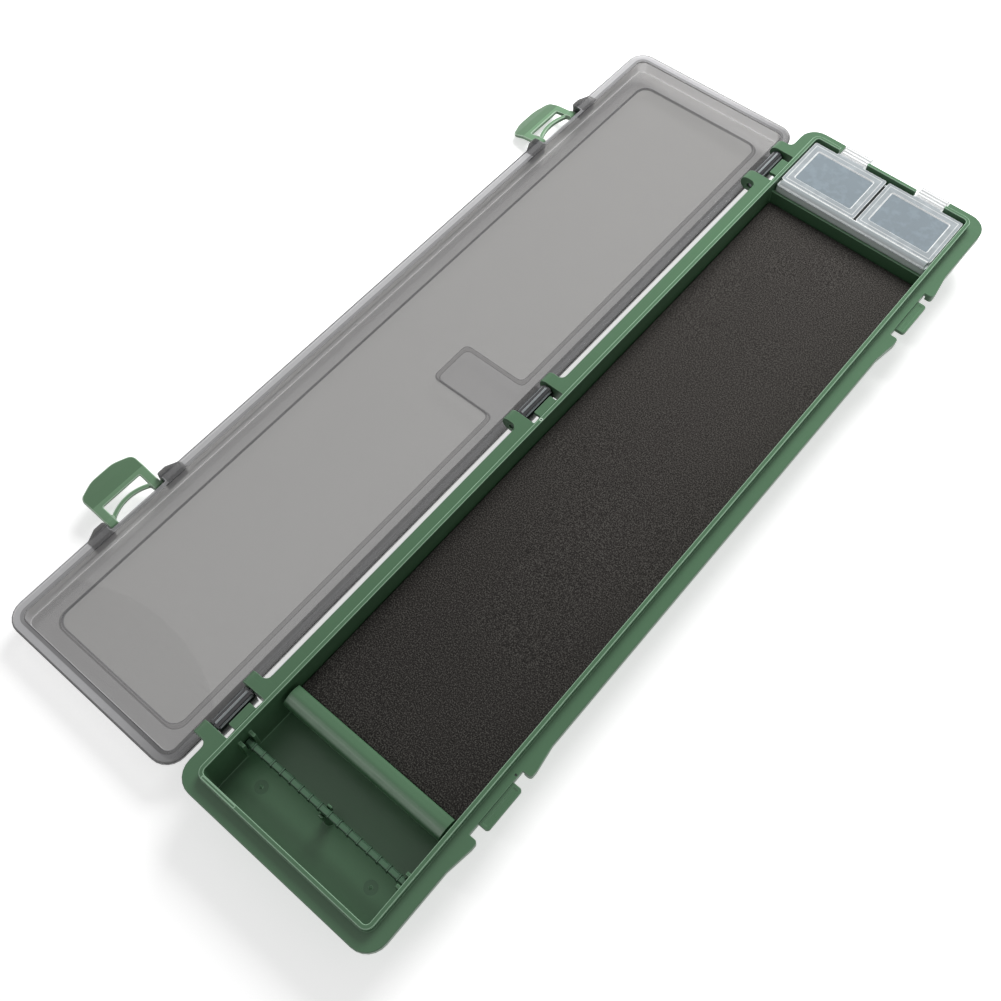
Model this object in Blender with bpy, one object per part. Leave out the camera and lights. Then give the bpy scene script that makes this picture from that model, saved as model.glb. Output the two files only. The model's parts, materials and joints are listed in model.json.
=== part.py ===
"""Long flat rig box with a hinged see-through lid, two snap latches, a foam board, a turning rig bar
and a small two-cell bit box with its own lids. Metres, +Z up, origin at the middle of the tray's
underside, +X towards the latches, +Y towards the bit box. The lid is modelled shut and then turned
open about its hinge, as the box stands in use."""

import math

import bmesh
import bpy
from mathutils import Matrix, Vector

MM = 0.001

# Tray: inside size, walls and height
INNER_LENGTH = 344.0 * MM
INNER_WIDTH = 69.3 * MM
TRAY_HEIGHT = 22.2 * MM
WALL = 1.6 * MM
FLOOR = 1.6 * MM
INNER_CORNER_RADIUS = 1.6 * MM
RIM_EDGE_RADIUS = 0.35 * MM
FOOT_EDGE_RADIUS = 1.0 * MM

# Flange round the tray, which the lid closes on
FLANGE_REACH = 7.0 * MM
FLANGE_DROP = 3.2 * MM
FLANGE_THICKNESS = 1.6 * MM
FLANGE_CORNER_RADIUS = 7.5 * MM
SKIRT_HEIGHT = 3.3 * MM
SKIRT_WALL = 1.4 * MM

# Hinges on the -X side: ears on the tray, a barrel on the lid and a steel pin through both
HINGE_INSET = 20.7 * MM
HINGE_OPENING = 16.3 * MM
EAR_WIDTH = 5.0 * MM
EAR_DEPTH = 6.5 * MM
EAR_TIP = 4.3 * MM
EAR_ROOT_RADIUS = 2.2 * MM
AXIS_REACH = 9.5 * MM
AXIS_BELOW_FLANGE = 3.55 * MM
PIN_RADIUS = 1.0 * MM
PIN_END_INSET = 0.7 * MM
HINGE_GAP_ROOT = 3.0 * MM
HINGE_TAB_GAP = 0.8 * MM
HINGE_TAB_WIDTH = 9.2 * MM
BARREL_RADIUS = 2.7 * MM
BARREL_NECK_RISE = 1.1 * MM
BARREL_NECK_RADIUS = 3.4 * MM
BARREL_GROOVE_RADIUS = 0.4 * MM
BARREL_GROOVE_INSET = 0.8 * MM
BARREL_GROOVE_SHARES = (0.22, 0.5, 0.78)

# Catches on the +X side, one under each latch
CATCH_INSET = 51.7 * MM
CATCH_OPENING = 25.1 * MM
CATCH_ROOT_INSET = 2.0 * MM
CATCH_TAB_WIDTH = 16.6 * MM
CATCH_TAB_REACH = 1.7 * MM
CATCH_TAB_DROP = 1.0 * MM
CATCH_TAB_THICKNESS = 1.6 * MM
CATCH_TAB_CORNER = 1.2 * MM
CATCH_TAB_BORDER = 1.1 * MM
CATCH_TAB_DISH = 0.3 * MM
FLARE_REACH = 1.4 * MM
FLARE_LENGTH = 12.5 * MM
FLARE_TIP_RADIUS = 1.2 * MM
FLARE_TIP_LENGTH = 1.6 * MM

# Far end: notches for the bit box's thumb tabs
NOTCH_SPACING = 35.4 * MM

# Ledge bar between the near bay and the foam board
LEDGE_START = 32.2 * MM
LEDGE_END = 39.9 * MM
LEDGE_TOP_DROP = 3.6 * MM
LEDGE_SHOULDER_DROP = 4.8 * MM
LEDGE_CREST_INSET = 4.2 * MM
LEDGE_NOSE_DROP = 5.4 * MM
LEDGE_NOSE_HEIGHT = 3.2 * MM
LEDGE_CREST_RADIUS = 3.0 * MM
LEDGE_NOSE_RADIUS = 2.0 * MM
LEDGE_FOOT_RADIUS = 0.75 * MM
LEDGE_NOSE_OVERHANG = 2.0 * MM
LEDGE_END_GAP = 1.4 * MM
LEDGE_CORE_WALL = 1.5 * MM

# Low divider in front of the bit box
DIVIDER_INSET = 32.0 * MM
DIVIDER_THICKNESS = 1.2 * MM
DIVIDER_DROP = 4.9 * MM

# Rig bar, its two side clips and its middle post
BAR_PLACE = 16.7 * MM
BAR_DROP = 9.5 * MM
BAR_HALF_WIDTH = 1.15 * MM
BAR_CHAMFER = 0.35 * MM
BAR_END_GAP = 0.5 * MM
COLLAR_RISE = 0.25 * MM
COLLAR_WIDTH = 0.6 * MM
COLLAR_INSET = 3.1 * MM
COLLAR_COUNT = 16
CLIP_REACH = 2.3 * MM
CLIP_WIDTH = 5.8 * MM
CLIP_RISE = 3.9 * MM
CLIP_DEPTH = 5.5 * MM
POST_RADIUS = 2.0 * MM
POST_TOP_RADIUS = 1.4 * MM
SADDLE_LENGTH = 1.8 * MM
SADDLE_WIDTH = 4.8 * MM
SADDLE_HEIGHT = 3.6 * MM
DIMPLE_RADIUS = 2.4 * MM
DIMPLE_DEPTH = 0.4 * MM
DIMPLE_SLOPE = 1.0 * MM
PIP_RADIUS = 0.45 * MM
PIP_HEIGHT = 0.25 * MM
DIMPLE_INSET = 10.5 * MM
DIMPLE_PLACE = 9.9 * MM

# Foam board
FOAM_THICKNESS = 10.3 * MM
FOAM_CORNER_RADIUS = 1.4 * MM
FOAM_EDGE_RADIUS = 0.8 * MM

# Bit box and its two lids
BIT_LID_DROP = 0.9 * MM
BOX_WALL = 1.2 * MM
BOX_BACK_INSET = 2.1 * MM
BOX_CORNER_RADIUS = 1.0 * MM
STRIP_LENGTH = 2.9 * MM
STRIP_HEIGHT = 4.2 * MM
STRIP_RADIUS = 2.4 * MM
BIT_LID_THICKNESS = 1.0 * MM
BIT_LID_SIDE_INSET = 0.5 * MM
BIT_LID_SPLIT = 1.0 * MM
BIT_LID_OVERHANG = 0.5 * MM
BIT_LID_BORDER = 3.7 * MM
BIT_LID_DISH = 0.35 * MM
BIT_LID_PLUG = 1.1 * MM
BIT_LID_CORNER_RADIUS = 0.8 * MM
THUMB_TAB_WIDTH = 12.4 * MM
THUMB_TAB_THICKNESS = 1.0 * MM
THUMB_TAB_PAST_FLANGE = 0.5 * MM
THUMB_TAB_GAP = 0.5 * MM
THUMB_TAB_RADIUS = 0.4 * MM

# Lid
LID_HEIGHT = 7.65 * MM
LID_PLATE = 1.4 * MM
LID_FLANGE_THICKNESS = 1.6 * MM
LID_LEDGE = 3.0 * MM
LID_WALL = 1.5 * MM
LID_TOP_EDGE_RADIUS = 1.5 * MM
PANEL_MARGIN = 11.5 * MM
PANEL_RISE = 0.8 * MM
PANEL_STEP = 1.0 * MM
PANEL_CORNER_RADIUS = 5.0 * MM
PANEL_NOTCH_DEPTH = 28.0 * MM
PANEL_NOTCH_WIDTH = 19.5 * MM
PANEL_NOTCH_RADIUS = 2.5 * MM
LUG_LENGTH = 4.2 * MM
LUG_RAMP = 4.6 * MM
LUG_WALL = 0.75 * MM
LUG_TIP_RADIUS = 1.0 * MM
RECESS_LIP = 0.5 * MM

# Latches
PIVOT_REACH = 0.55 * MM
PIVOT_HEIGHT = 3.75 * MM
LATCH_HUB_RADIUS = 1.25 * MM
LATCH_STUB_RADIUS = 0.7 * MM
LATCH_STUB_LENGTH = 2.2 * MM
LATCH_PLATE = 1.7 * MM
LATCH_LENGTH = 17.4 * MM
LATCH_SIDE_LENGTH = 14.6 * MM
LATCH_CORNER_RADIUS = 3.0 * MM
LATCH_END_RADIUS = 11.0 * MM
LATCH_END_SHARE = 0.42
LATCH_PAD_START = 8.9 * MM
LATCH_PAD_FLARE = 1.8 * MM
LATCH_TIP_THICKNESS = 1.1 * MM
BOW_ROOT = 1.5 * MM
BOW_THICKNESS = 1.7 * MM

# Rest pose and clearances
LID_OPEN_ANGLE = math.radians(181.3)
LATCH_NEAR_ANGLE = math.radians(69.7)
LATCH_FAR_ANGLE = math.radians(97.2)
SEAT_GAP = 0.3 * MM
LID_GAP = 0.35 * MM
CATCH_CLEARANCE = 0.35 * MM
PIN_CLEARANCE = 0.22 * MM
BAR_CLEARANCE = 0.25 * MM
STUB_CLEARANCE = 0.22 * MM
SIDE_CLEARANCE = 0.3 * MM
LATCH_SIDE_CLEARANCE = 0.4 * MM
BOX_SIDE_CLEARANCE = 0.4 * MM
HINGE_LINE_GAP = 0.3 * MM

# Shared by all cuts and joins
OVERRUN = 1.0 * MM
EMBED = 0.4 * MM
CORNER_STEPS = 6
ROUND_SIDES = 20
SMALL_SIDES = 16
GROOVE_SIDES = 8
SHARP_ANGLE = math.radians(30)
BOW_STEPS = 16
MERGE = 0.001 * MM

# Faces that everything else is placed from
RIM_TOP = TRAY_HEIGHT
FLANGE_TOP = RIM_TOP - FLANGE_DROP
FLANGE_LOW = FLANGE_TOP - SKIRT_HEIGHT
HINGE_SIDE = -INNER_WIDTH / 2
LATCH_SIDE = INNER_WIDTH / 2
NEAR = -INNER_LENGTH / 2
FAR = INNER_LENGTH / 2
OUTER_X = INNER_WIDTH / 2 + FLANGE_REACH
OUTER_Y = INNER_LENGTH / 2 + FLANGE_REACH
AXIS = Vector((HINGE_SIDE - AXIS_REACH, 0, FLANGE_TOP - AXIS_BELOW_FLANGE))
HINGE_PLACES = {"near": NEAR + HINGE_INSET, "middle": 0.0, "far": FAR - HINGE_INSET}
CATCH_PLACES = {"near": NEAR + CATCH_INSET, "far": FAR - CATCH_INSET}
LATCH_ANGLES = {"near": LATCH_NEAR_ANGLE, "far": LATCH_FAR_ANGLE}
LID_LOW = FLANGE_TOP + LID_GAP
LID_TOP = LID_LOW + LID_HEIGHT
PIVOT_X = OUTER_X + PIVOT_REACH
PIVOT_Z = LID_LOW + PIVOT_HEIGHT
LUG_NOSE_RADIUS = LATCH_STUB_RADIUS + STUB_CLEARANCE + LUG_WALL
CATCH_TAB_TOP = FLANGE_TOP - CATCH_TAB_DROP
CATCH_TAB_LOW = CATCH_TAB_TOP - CATCH_TAB_THICKNESS
WINDOW_WIDTH = CATCH_TAB_WIDTH + 2 * SIDE_CLEARANCE
WINDOW_END = PIVOT_Z - CATCH_TAB_LOW + CATCH_CLEARANCE
BOW_REACH = PIVOT_Z - CATCH_TAB_TOP - CATCH_CLEARANCE
BIT_LID_TOP = RIM_TOP - BIT_LID_DROP
BIT_LID_LOW = BIT_LID_TOP - BIT_LID_THICKNESS
BOX_LOW = FLOOR + SEAT_GAP
BOX_TOP = BIT_LID_LOW - SEAT_GAP
THUMB_TAB_TOP = LID_LOW - THUMB_TAB_GAP
THUMB_TAB_LOW = THUMB_TAB_TOP - THUMB_TAB_THICKNESS
NOTCH_WIDTH = THUMB_TAB_WIDTH + 2 * SIDE_CLEARANCE
DIVIDER_FRONT = FAR - DIVIDER_INSET
BOX_FRONT = DIVIDER_FRONT + DIVIDER_THICKNESS + SEAT_GAP
BOX_BACK = FAR - BOX_BACK_INSET
BIT_HINGE_Y = BOX_FRONT + STRIP_LENGTH + HINGE_LINE_GAP / 2
BAR_Y = NEAR + BAR_PLACE
BAR_Z = RIM_TOP - BAR_DROP
BAR_REACH = math.hypot(BAR_HALF_WIDTH, BAR_HALF_WIDTH - BAR_CHAMFER)


def empty_scene():
    for item in list(bpy.data.objects):
        bpy.data.objects.remove(item)


def collection(name):
    made = bpy.data.collections.new(name)
    bpy.context.scene.collection.children.link(made)
    return made


def from_screen(red, green, blue):
    """Linear colour from the 0 to 255 values a screen shows."""
    shares = [value / 255 for value in (red, green, blue)]
    return [share / 12.92 if share < 0.04045 else ((share + 0.055) / 1.055) ** 2.4 for share in shares]


def material(name, colour, roughness, metallic=0.0, alpha=1.0):
    made = bpy.data.materials.new(name)
    made.use_nodes = True
    shader = made.node_tree.nodes["Principled BSDF"]
    shader.inputs["Base Color"].default_value = (*from_screen(*colour), 1.0)
    shader.inputs["Roughness"].default_value = roughness
    shader.inputs["Metallic"].default_value = metallic
    shader.inputs["Alpha"].default_value = alpha
    return made


def add_object(name, mesh):
    made = bpy.data.objects.new(name, mesh)
    PARTS.objects.link(made)
    return made


def from_form(name, form):
    """Object from a bmesh, which it frees."""
    bmesh.ops.recalc_face_normals(form, faces=form.faces)
    mesh = bpy.data.meshes.new(name)
    form.to_mesh(mesh)
    form.free()
    return add_object(name, mesh)


def round_edges(form, edges, radius, steps):
    bmesh.ops.bevel(
        form, geom=edges, offset=radius, segments=steps, affect="EDGES", profile=0.5, material=-1
    )


def slab(name, low, high, corner=0.0, top_edge=0.0, low_edge=0.0):
    """Box between two corner points, its upright edges, top and foot rounded."""
    low = Vector(low)
    high = Vector(high)
    form = bmesh.new()
    bmesh.ops.create_cube(form, size=1)
    bmesh.ops.scale(form, vec=high - low, verts=form.verts)
    bmesh.ops.translate(form, vec=(high + low) / 2, verts=form.verts)
    if corner > 0:
        upright = [edge for edge in form.edges if abs(edge.verts[0].co.z - edge.verts[1].co.z) > MERGE]
        round_edges(form, upright, corner, CORNER_STEPS)
    for level, radius in ((high.z, top_edge), (low.z, low_edge)):
        if radius > 0:
            level_edges = [
                edge for edge in form.edges if all(abs(vert.co.z - level) < MERGE for vert in edge.verts)
            ]
            round_edges(form, level_edges, radius, CORNER_STEPS // 2)
    return from_form(name, form)


def rod(name, start, end, radius, end_radius=None, sides=ROUND_SIDES):
    """Cylinder, or a cone with another end radius, between two points."""
    start = Vector(start)
    end = Vector(end)
    form = bmesh.new()
    bmesh.ops.create_cone(
        form,
        cap_ends=True,
        segments=sides,
        radius1=radius,
        radius2=radius if end_radius is None else end_radius,
        depth=(end - start).length,
    )
    turn = (end - start).to_track_quat("Z", "Y").to_matrix().to_4x4()
    bmesh.ops.transform(form, matrix=Matrix.Translation((start + end) / 2) @ turn, verts=form.verts)
    return from_form(name, form)


def rounded(corners):
    """Closed outline through corners (across, up, radius), each rounded by its own radius."""
    points = []
    for index, (across, up, radius) in enumerate(corners):
        here = Vector((across, up))
        if radius == 0:
            points.append(here)
            continue
        back = (Vector(corners[index - 1][:2]) - here).normalized()
        ahead = (Vector(corners[(index + 1) % len(corners)][:2]) - here).normalized()
        half = back.angle(ahead) / 2
        centre = here + (back + ahead).normalized() * radius / math.sin(half)
        start = here + back * radius / math.tan(half) - centre
        end = here + ahead * radius / math.tan(half) - centre
        first = math.atan2(start.y, start.x)
        sweep = (math.atan2(end.y, end.x) - first + math.pi) % math.tau - math.pi
        for step in range(CORNER_STEPS + 1):
            angle = first + sweep * step / CORNER_STEPS
            points.append(centre + radius * Vector((math.cos(angle), math.sin(angle))))
    return points


# How an outline's across, up and thickness directions lie when it is pushed along each axis
PUSHED_ALONG = {
    "Z": Matrix.Identity(4),
    "Y": Matrix(((1, 0, 0, 0), (0, 0, -1, 0), (0, 1, 0, 0), (0, 0, 0, 1))),
    "X": Matrix(((0, 0, 1, 0), (1, 0, 0, 0), (0, 1, 0, 0), (0, 0, 0, 1))),
}


def prism(name, points, axis, low, high):
    """Outline pushed along an axis from low to high: (x, y) along Z, (x, z) along Y or (y, z) along X."""
    curve = bpy.data.curves.new(name, "CURVE")
    curve.dimensions = "2D"
    curve.fill_mode = "BOTH"
    curve.extrude = (high - low) / 2
    spline = curve.splines.new("POLY")
    spline.points.add(len(points) - 1)
    for target, point in zip(spline.points, points):
        target.co = (point.x, point.y, 0, 1)
    spline.use_cyclic_u = True
    guide = add_object(name, curve)
    graph = bpy.context.evaluated_depsgraph_get()
    mesh = bpy.data.meshes.new_from_object(guide.evaluated_get(graph))
    bpy.data.objects.remove(guide)
    form = bmesh.new()
    form.from_mesh(mesh)
    bpy.data.meshes.remove(mesh)
    bmesh.ops.remove_doubles(form, verts=form.verts, dist=MERGE)
    shift = Vector((0, 0, 0))
    shift["XYZ".index(axis)] = (low + high) / 2
    bmesh.ops.transform(form, matrix=Matrix.Translation(shift) @ PUSHED_ALONG[axis], verts=form.verts)
    return from_form(name, form)


def combine(target, tool, operation):
    """Boolean with a tool that rides on the target and isn't rendered."""
    PARTS.objects.unlink(tool)
    CUTTERS.objects.link(tool)
    tool.name = f"tool_{target.name}_{tool.name}"
    tool.parent = target
    tool.hide_render = True
    tool.display_type = "WIRE"
    step = target.modifiers.new(tool.name, "BOOLEAN")
    step.operation = operation
    step.solver = "EXACT"
    step.object = tool
    return target


def fuse(target, tool):
    return combine(target, tool, "UNION")


def cut(target, tool):
    return combine(target, tool, "DIFFERENCE")


def keep_shared(target, tool):
    return combine(target, tool, "INTERSECT")


def finish(item, look, parent=None, place=(0, 0, 0), turn=0.0, about=1):
    """Gives a piece its material, its parent, its origin and its turn about one axis at rest."""
    item.data.materials.append(look)
    item.data.shade_smooth()
    item.data.set_sharp_from_angle(angle=SHARP_ANGLE)
    item.parent = parent
    item.location = place
    item.rotation_euler[about] = turn
    return item


# Tray


def box_between(name, x_low, x_high, y_low, y_high, z_low, z_high, **rounding):
    return slab(name, (x_low, y_low, z_low), (x_high, y_high, z_high), **rounding)


def tray_shell():
    """Flange with a down-turned skirt, and the open trough that hangs in it."""
    outer = slab(
        "base_tray",
        (-OUTER_X, -OUTER_Y, FLANGE_LOW),
        (OUTER_X, OUTER_Y, FLANGE_TOP),
        corner=FLANGE_CORNER_RADIUS,
        top_edge=RIM_EDGE_RADIUS,
    )
    hollow_x = OUTER_X - SKIRT_WALL
    hollow_y = OUTER_Y - SKIRT_WALL
    under = slab(
        "under_flange",
        (-hollow_x, -hollow_y, FLANGE_LOW - OVERRUN),
        (hollow_x, hollow_y, FLANGE_TOP - FLANGE_THICKNESS),
        corner=FLANGE_CORNER_RADIUS - SKIRT_WALL,
    )
    cut(outer, under)
    return outer


def add_trough(tray):
    trough = slab(
        "trough",
        (HINGE_SIDE - WALL, NEAR - WALL, 0),
        (LATCH_SIDE + WALL, FAR + WALL, RIM_TOP),
        corner=INNER_CORNER_RADIUS + WALL,
        top_edge=RIM_EDGE_RADIUS,
        low_edge=FOOT_EDGE_RADIUS,
    )
    fuse(tray, trough)


def hollow_trough(tray):
    inside = slab(
        "inside",
        (HINGE_SIDE, NEAR, FLOOR),
        (LATCH_SIDE, FAR, RIM_TOP + OVERRUN),
        corner=INNER_CORNER_RADIUS,
    )
    cut(tray, inside)


def ear_outline():
    """Side view of a hinge ear: flush with the flange on top, round at its tip."""
    low = FLANGE_TOP - EAR_DEPTH
    tip = AXIS.x - EAR_TIP
    root = HINGE_SIDE - WALL / 2
    round_tip = EAR_DEPTH / 2 - MERGE
    return rounded(
        [(root, low, 0), (root, FLANGE_TOP, 0), (tip, FLANGE_TOP, round_tip), (tip, low, round_tip)]
    )


def root_fillet(name, corner_y, towards):
    """Quarter-hollow web in the corner between an ear and the flange's edge."""
    edge = -OUTER_X
    corner_x = edge + EMBED
    corner_y -= towards * EMBED
    reach = EAR_ROOT_RADIUS
    points = [Vector((corner_x, corner_y)), Vector((corner_x, corner_y + towards * (reach + EMBED)))]
    centre = Vector((edge - reach, corner_y + towards * (reach + EMBED)))
    for step in range(CORNER_STEPS + 1):
        angle = math.pi / 2 * step / CORNER_STEPS
        points.append(centre + reach * Vector((math.cos(angle), -towards * math.sin(angle))))
    points.append(Vector((edge - reach, corner_y)))
    return prism(name, points, "Z", FLANGE_LOW, FLANGE_TOP)


def add_hinge_ears(tray):
    """Cuts the flange away between each pair of ears, then adds the ears and the small tab there."""
    half = HINGE_OPENING / 2
    for where, middle in HINGE_PLACES.items():
        opening = box_between(
            f"hinge_opening_{where}",
            -OUTER_X - OVERRUN, HINGE_SIDE - HINGE_GAP_ROOT,
            middle - half, middle + half,
            FLANGE_LOW - OVERRUN, FLANGE_TOP + OVERRUN,
        )
        cut(tray, opening)
        tab = box_between(
            f"hinge_tab_{where}",
            AXIS.x + BARREL_RADIUS + HINGE_TAB_GAP, HINGE_SIDE - WALL / 2,
            middle - HINGE_TAB_WIDTH / 2, middle + HINGE_TAB_WIDTH / 2,
            FLANGE_TOP - FLANGE_THICKNESS, FLANGE_TOP - MERGE,
        )
        fuse(tray, tab)
        for side in (-1, 1):
            inner = middle + side * half
            outer = middle + side * (half + EAR_WIDTH)
            ear = prism(f"ear_{where}_{side}", ear_outline(), "Y", min(inner, outer), max(inner, outer))
            fuse(tray, ear)
            fuse(tray, root_fillet(f"ear_root_{where}_{side}", outer, side))


def drill_pin_holes(tray):
    reach = HINGE_OPENING / 2 + EAR_WIDTH + OVERRUN
    for where, middle in HINGE_PLACES.items():
        hole = rod(
            f"pin_hole_{where}",
            (AXIS.x, middle - reach, AXIS.z),
            (AXIS.x, middle + reach, AXIS.z),
            PIN_RADIUS + PIN_CLEARANCE,
        )
        cut(tray, hole)


def flare_outline(middle, side):
    """Plan of the flange's swelling beside a catch, from its straight edge to the rounded tip."""
    root = OUTER_X - SKIRT_WALL
    tip = OUTER_X + FLARE_REACH
    start = middle + side * CATCH_OPENING / 2
    end = start + side * FLARE_LENGTH
    corners = [
        (root, start, 0),
        (tip, start, FLARE_TIP_RADIUS),
        (tip, start + side * (FLARE_TIP_LENGTH + FLARE_TIP_RADIUS), FLARE_TIP_RADIUS),
        (OUTER_X - MERGE, end, 0),
        (root, end, 0),
    ]
    return rounded(corners)


def add_catches(tray):
    """A swelling either side of each latch, the notch between them and the tab that the latch holds."""
    root = OUTER_X - CATCH_ROOT_INSET
    for where, middle in CATCH_PLACES.items():
        for side in (-1, 1):
            flare = prism(f"flare_{where}_{side}", flare_outline(middle, side), "Z", FLANGE_LOW, FLANGE_TOP)
            fuse(tray, flare)
        notch = box_between(
            f"catch_notch_{where}",
            root, OUTER_X + FLARE_REACH + OVERRUN,
            middle - CATCH_OPENING / 2, middle + CATCH_OPENING / 2,
            FLANGE_LOW - OVERRUN, FLANGE_TOP + OVERRUN,
        )
        cut(tray, notch)
        apron = box_between(
            f"catch_apron_{where}",
            root - SKIRT_WALL, root + MERGE,
            middle - CATCH_OPENING / 2 - EMBED, middle + CATCH_OPENING / 2 + EMBED,
            FLANGE_LOW, FLANGE_TOP - MERGE,
        )
        fuse(tray, apron)
        tab_half = CATCH_TAB_WIDTH / 2
        tab_tip = OUTER_X + CATCH_TAB_REACH
        tab = prism(
            f"catch_tab_{where}",
            rounded(
                [
                    (root - EMBED, middle - tab_half, 0),
                    (tab_tip, middle - tab_half, CATCH_TAB_CORNER),
                    (tab_tip, middle + tab_half, CATCH_TAB_CORNER),
                    (root - EMBED, middle + tab_half, 0),
                ]
            ),
            "Z", CATCH_TAB_LOW, CATCH_TAB_TOP,
        )
        fuse(tray, tab)
        dish = box_between(
            f"catch_dish_{where}",
            root + CATCH_TAB_BORDER, tab_tip - CATCH_TAB_BORDER,
            middle - tab_half + CATCH_TAB_BORDER, middle + tab_half - CATCH_TAB_BORDER,
            CATCH_TAB_TOP - CATCH_TAB_DISH, CATCH_TAB_TOP + OVERRUN,
        )
        cut(tray, dish)


def open_far_end(tray):
    """Takes the flange off behind the bit box and notches the rim for its two thumb tabs."""
    half = (NOTCH_SPACING + NOTCH_WIDTH) / 2
    gap = box_between(
        "far_flange_gap",
        -half, half,
        FAR + WALL, OUTER_Y + OVERRUN,
        FLANGE_LOW - OVERRUN, FLANGE_TOP + OVERRUN,
    )
    cut(tray, gap)
    for side in (-1, 1):
        middle = side * NOTCH_SPACING / 2
        notch = box_between(
            f"thumb_notch_{side}",
            middle - NOTCH_WIDTH / 2, middle + NOTCH_WIDTH / 2,
            FAR - OVERRUN, FAR + WALL + OVERRUN,
            THUMB_TAB_LOW - SEAT_GAP, RIM_TOP + OVERRUN,
        )
        cut(tray, notch)


def add_ledge(tray):
    """Bar with a sloping crest and a rounded nose, cored out from below as a moulding is."""
    near = NEAR + LEDGE_START
    far = NEAR + LEDGE_END
    nose_top = RIM_TOP - LEDGE_NOSE_DROP
    nose_low = nose_top - LEDGE_NOSE_HEIGHT
    face = near + LEDGE_NOSE_OVERHANG
    crest = RIM_TOP - LEDGE_TOP_DROP
    side_view = rounded(
        [
            (face, FLOOR - EMBED, 0),
            (far, FLOOR - EMBED, 0),
            (far, RIM_TOP - LEDGE_SHOULDER_DROP, LEDGE_FOOT_RADIUS),
            (near + LEDGE_CREST_INSET, crest, LEDGE_CREST_RADIUS),
            (near, nose_top, LEDGE_NOSE_RADIUS),
            (near, nose_low, LEDGE_FOOT_RADIUS),
            (face, nose_low - LEDGE_NOSE_OVERHANG / 2, LEDGE_FOOT_RADIUS),
        ]
    )
    low = HINGE_SIDE + LEDGE_END_GAP
    high = LATCH_SIDE - LEDGE_END_GAP
    fuse(tray, prism("ledge", side_view, "X", low, high))
    core = box_between(
        "ledge_core",
        low + LEDGE_CORE_WALL, high - LEDGE_CORE_WALL,
        face + LEDGE_CORE_WALL, far - LEDGE_CORE_WALL,
        -OVERRUN, nose_top - LEDGE_CORE_WALL,
    )
    cut(tray, core)


def add_divider(tray):
    divider = box_between(
        "divider",
        HINGE_SIDE - EMBED, LATCH_SIDE + EMBED,
        DIVIDER_FRONT, DIVIDER_FRONT + DIVIDER_THICKNESS,
        FLOOR - EMBED, RIM_TOP - DIVIDER_DROP,
    )
    fuse(tray, divider)


def bar_channel(name, low_x, high_x):
    """Cutter for a slot that takes the bar from above and cradles it."""
    radius = BAR_REACH + BAR_CLEARANCE
    points = [Vector((BAR_Y + radius, RIM_TOP)), Vector((BAR_Y - radius, RIM_TOP))]
    for step in range(ROUND_SIDES // 2 + 1):
        angle = math.pi + math.pi * step / (ROUND_SIDES // 2)
        points.append(Vector((BAR_Y, BAR_Z)) + radius * Vector((math.cos(angle), math.sin(angle))))
    return prism(name, points, "X", low_x, high_x)


def add_bar_supports(tray):
    """Two-pronged clip on each side wall and a forked post under the middle of the bar."""
    for name, wall_x, inward in (("hinge", HINGE_SIDE, 1), ("latch", LATCH_SIDE, -1)):
        ends = sorted((wall_x - inward * EMBED, wall_x + inward * CLIP_REACH))
        clip = box_between(
            f"clip_{name}",
            *ends,
            BAR_Y - CLIP_WIDTH / 2, BAR_Y + CLIP_WIDTH / 2,
            BAR_Z - CLIP_DEPTH, BAR_Z + CLIP_RISE,
        )
        fuse(tray, clip)
        slot_ends = sorted((wall_x, wall_x + inward * (CLIP_REACH + OVERRUN)))
        cut(tray, bar_channel(f"clip_slot_{name}", *slot_ends))
    foot = (0, BAR_Y, FLOOR - EMBED)
    head = (0, BAR_Y, BAR_Z - BAR_HALF_WIDTH)
    post = rod("post", foot, head, POST_RADIUS, POST_TOP_RADIUS)
    fuse(tray, post)
    saddle = box_between(
        "saddle",
        -SADDLE_LENGTH / 2, SADDLE_LENGTH / 2,
        BAR_Y - SADDLE_WIDTH / 2, BAR_Y + SADDLE_WIDTH / 2,
        BAR_Z - SADDLE_HEIGHT, BAR_Z,
    )
    fuse(tray, saddle)
    cut(tray, bar_channel("saddle_slot", -POST_RADIUS - OVERRUN, POST_RADIUS + OVERRUN))


def add_dimples(tray):
    """Shallow dish with sloping sides near each corner of the near bay, and a pip in its middle."""
    y = NEAR + DIMPLE_PLACE
    dish_floor = FLOOR - DIMPLE_DEPTH
    flare = DIMPLE_SLOPE * (DIMPLE_DEPTH + OVERRUN) / DIMPLE_DEPTH
    for name, x in (("hinge", HINGE_SIDE + DIMPLE_INSET), ("latch", LATCH_SIDE - DIMPLE_INSET)):
        low = (x, y, dish_floor)
        dish = rod(f"dimple_{name}", low, (x, y, FLOOR + OVERRUN), DIMPLE_RADIUS, DIMPLE_RADIUS + flare)
        cut(tray, dish)
        foot = (x, y, dish_floor - EMBED)
        pip = rod(f"pip_{name}", foot, (x, y, dish_floor + PIP_HEIGHT), PIP_RADIUS, sides=SMALL_SIDES)
        fuse(tray, pip)


def make_tray():
    tray = tray_shell()
    add_trough(tray)
    add_hinge_ears(tray)
    drill_pin_holes(tray)
    add_catches(tray)
    hollow_trough(tray)
    open_far_end(tray)
    add_ledge(tray)
    add_divider(tray)
    add_bar_supports(tray)
    add_dimples(tray)
    return finish(tray, material("green_moulding", (84, 122, 93), 0.42))


def make_hinge_pins():
    steel = material("hinge_pin_steel", (70, 70, 74), 0.25, metallic=1.0)
    reach = HINGE_OPENING / 2 + EAR_WIDTH - PIN_END_INSET
    for where, middle in HINGE_PLACES.items():
        pin = rod(f"hinge_pin_{where}", (0, -reach, 0), (0, reach, 0), PIN_RADIUS)
        finish(pin, steel, place=(AXIS.x, middle, AXIS.z))


# Foam board, rig bar and bit box


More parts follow.
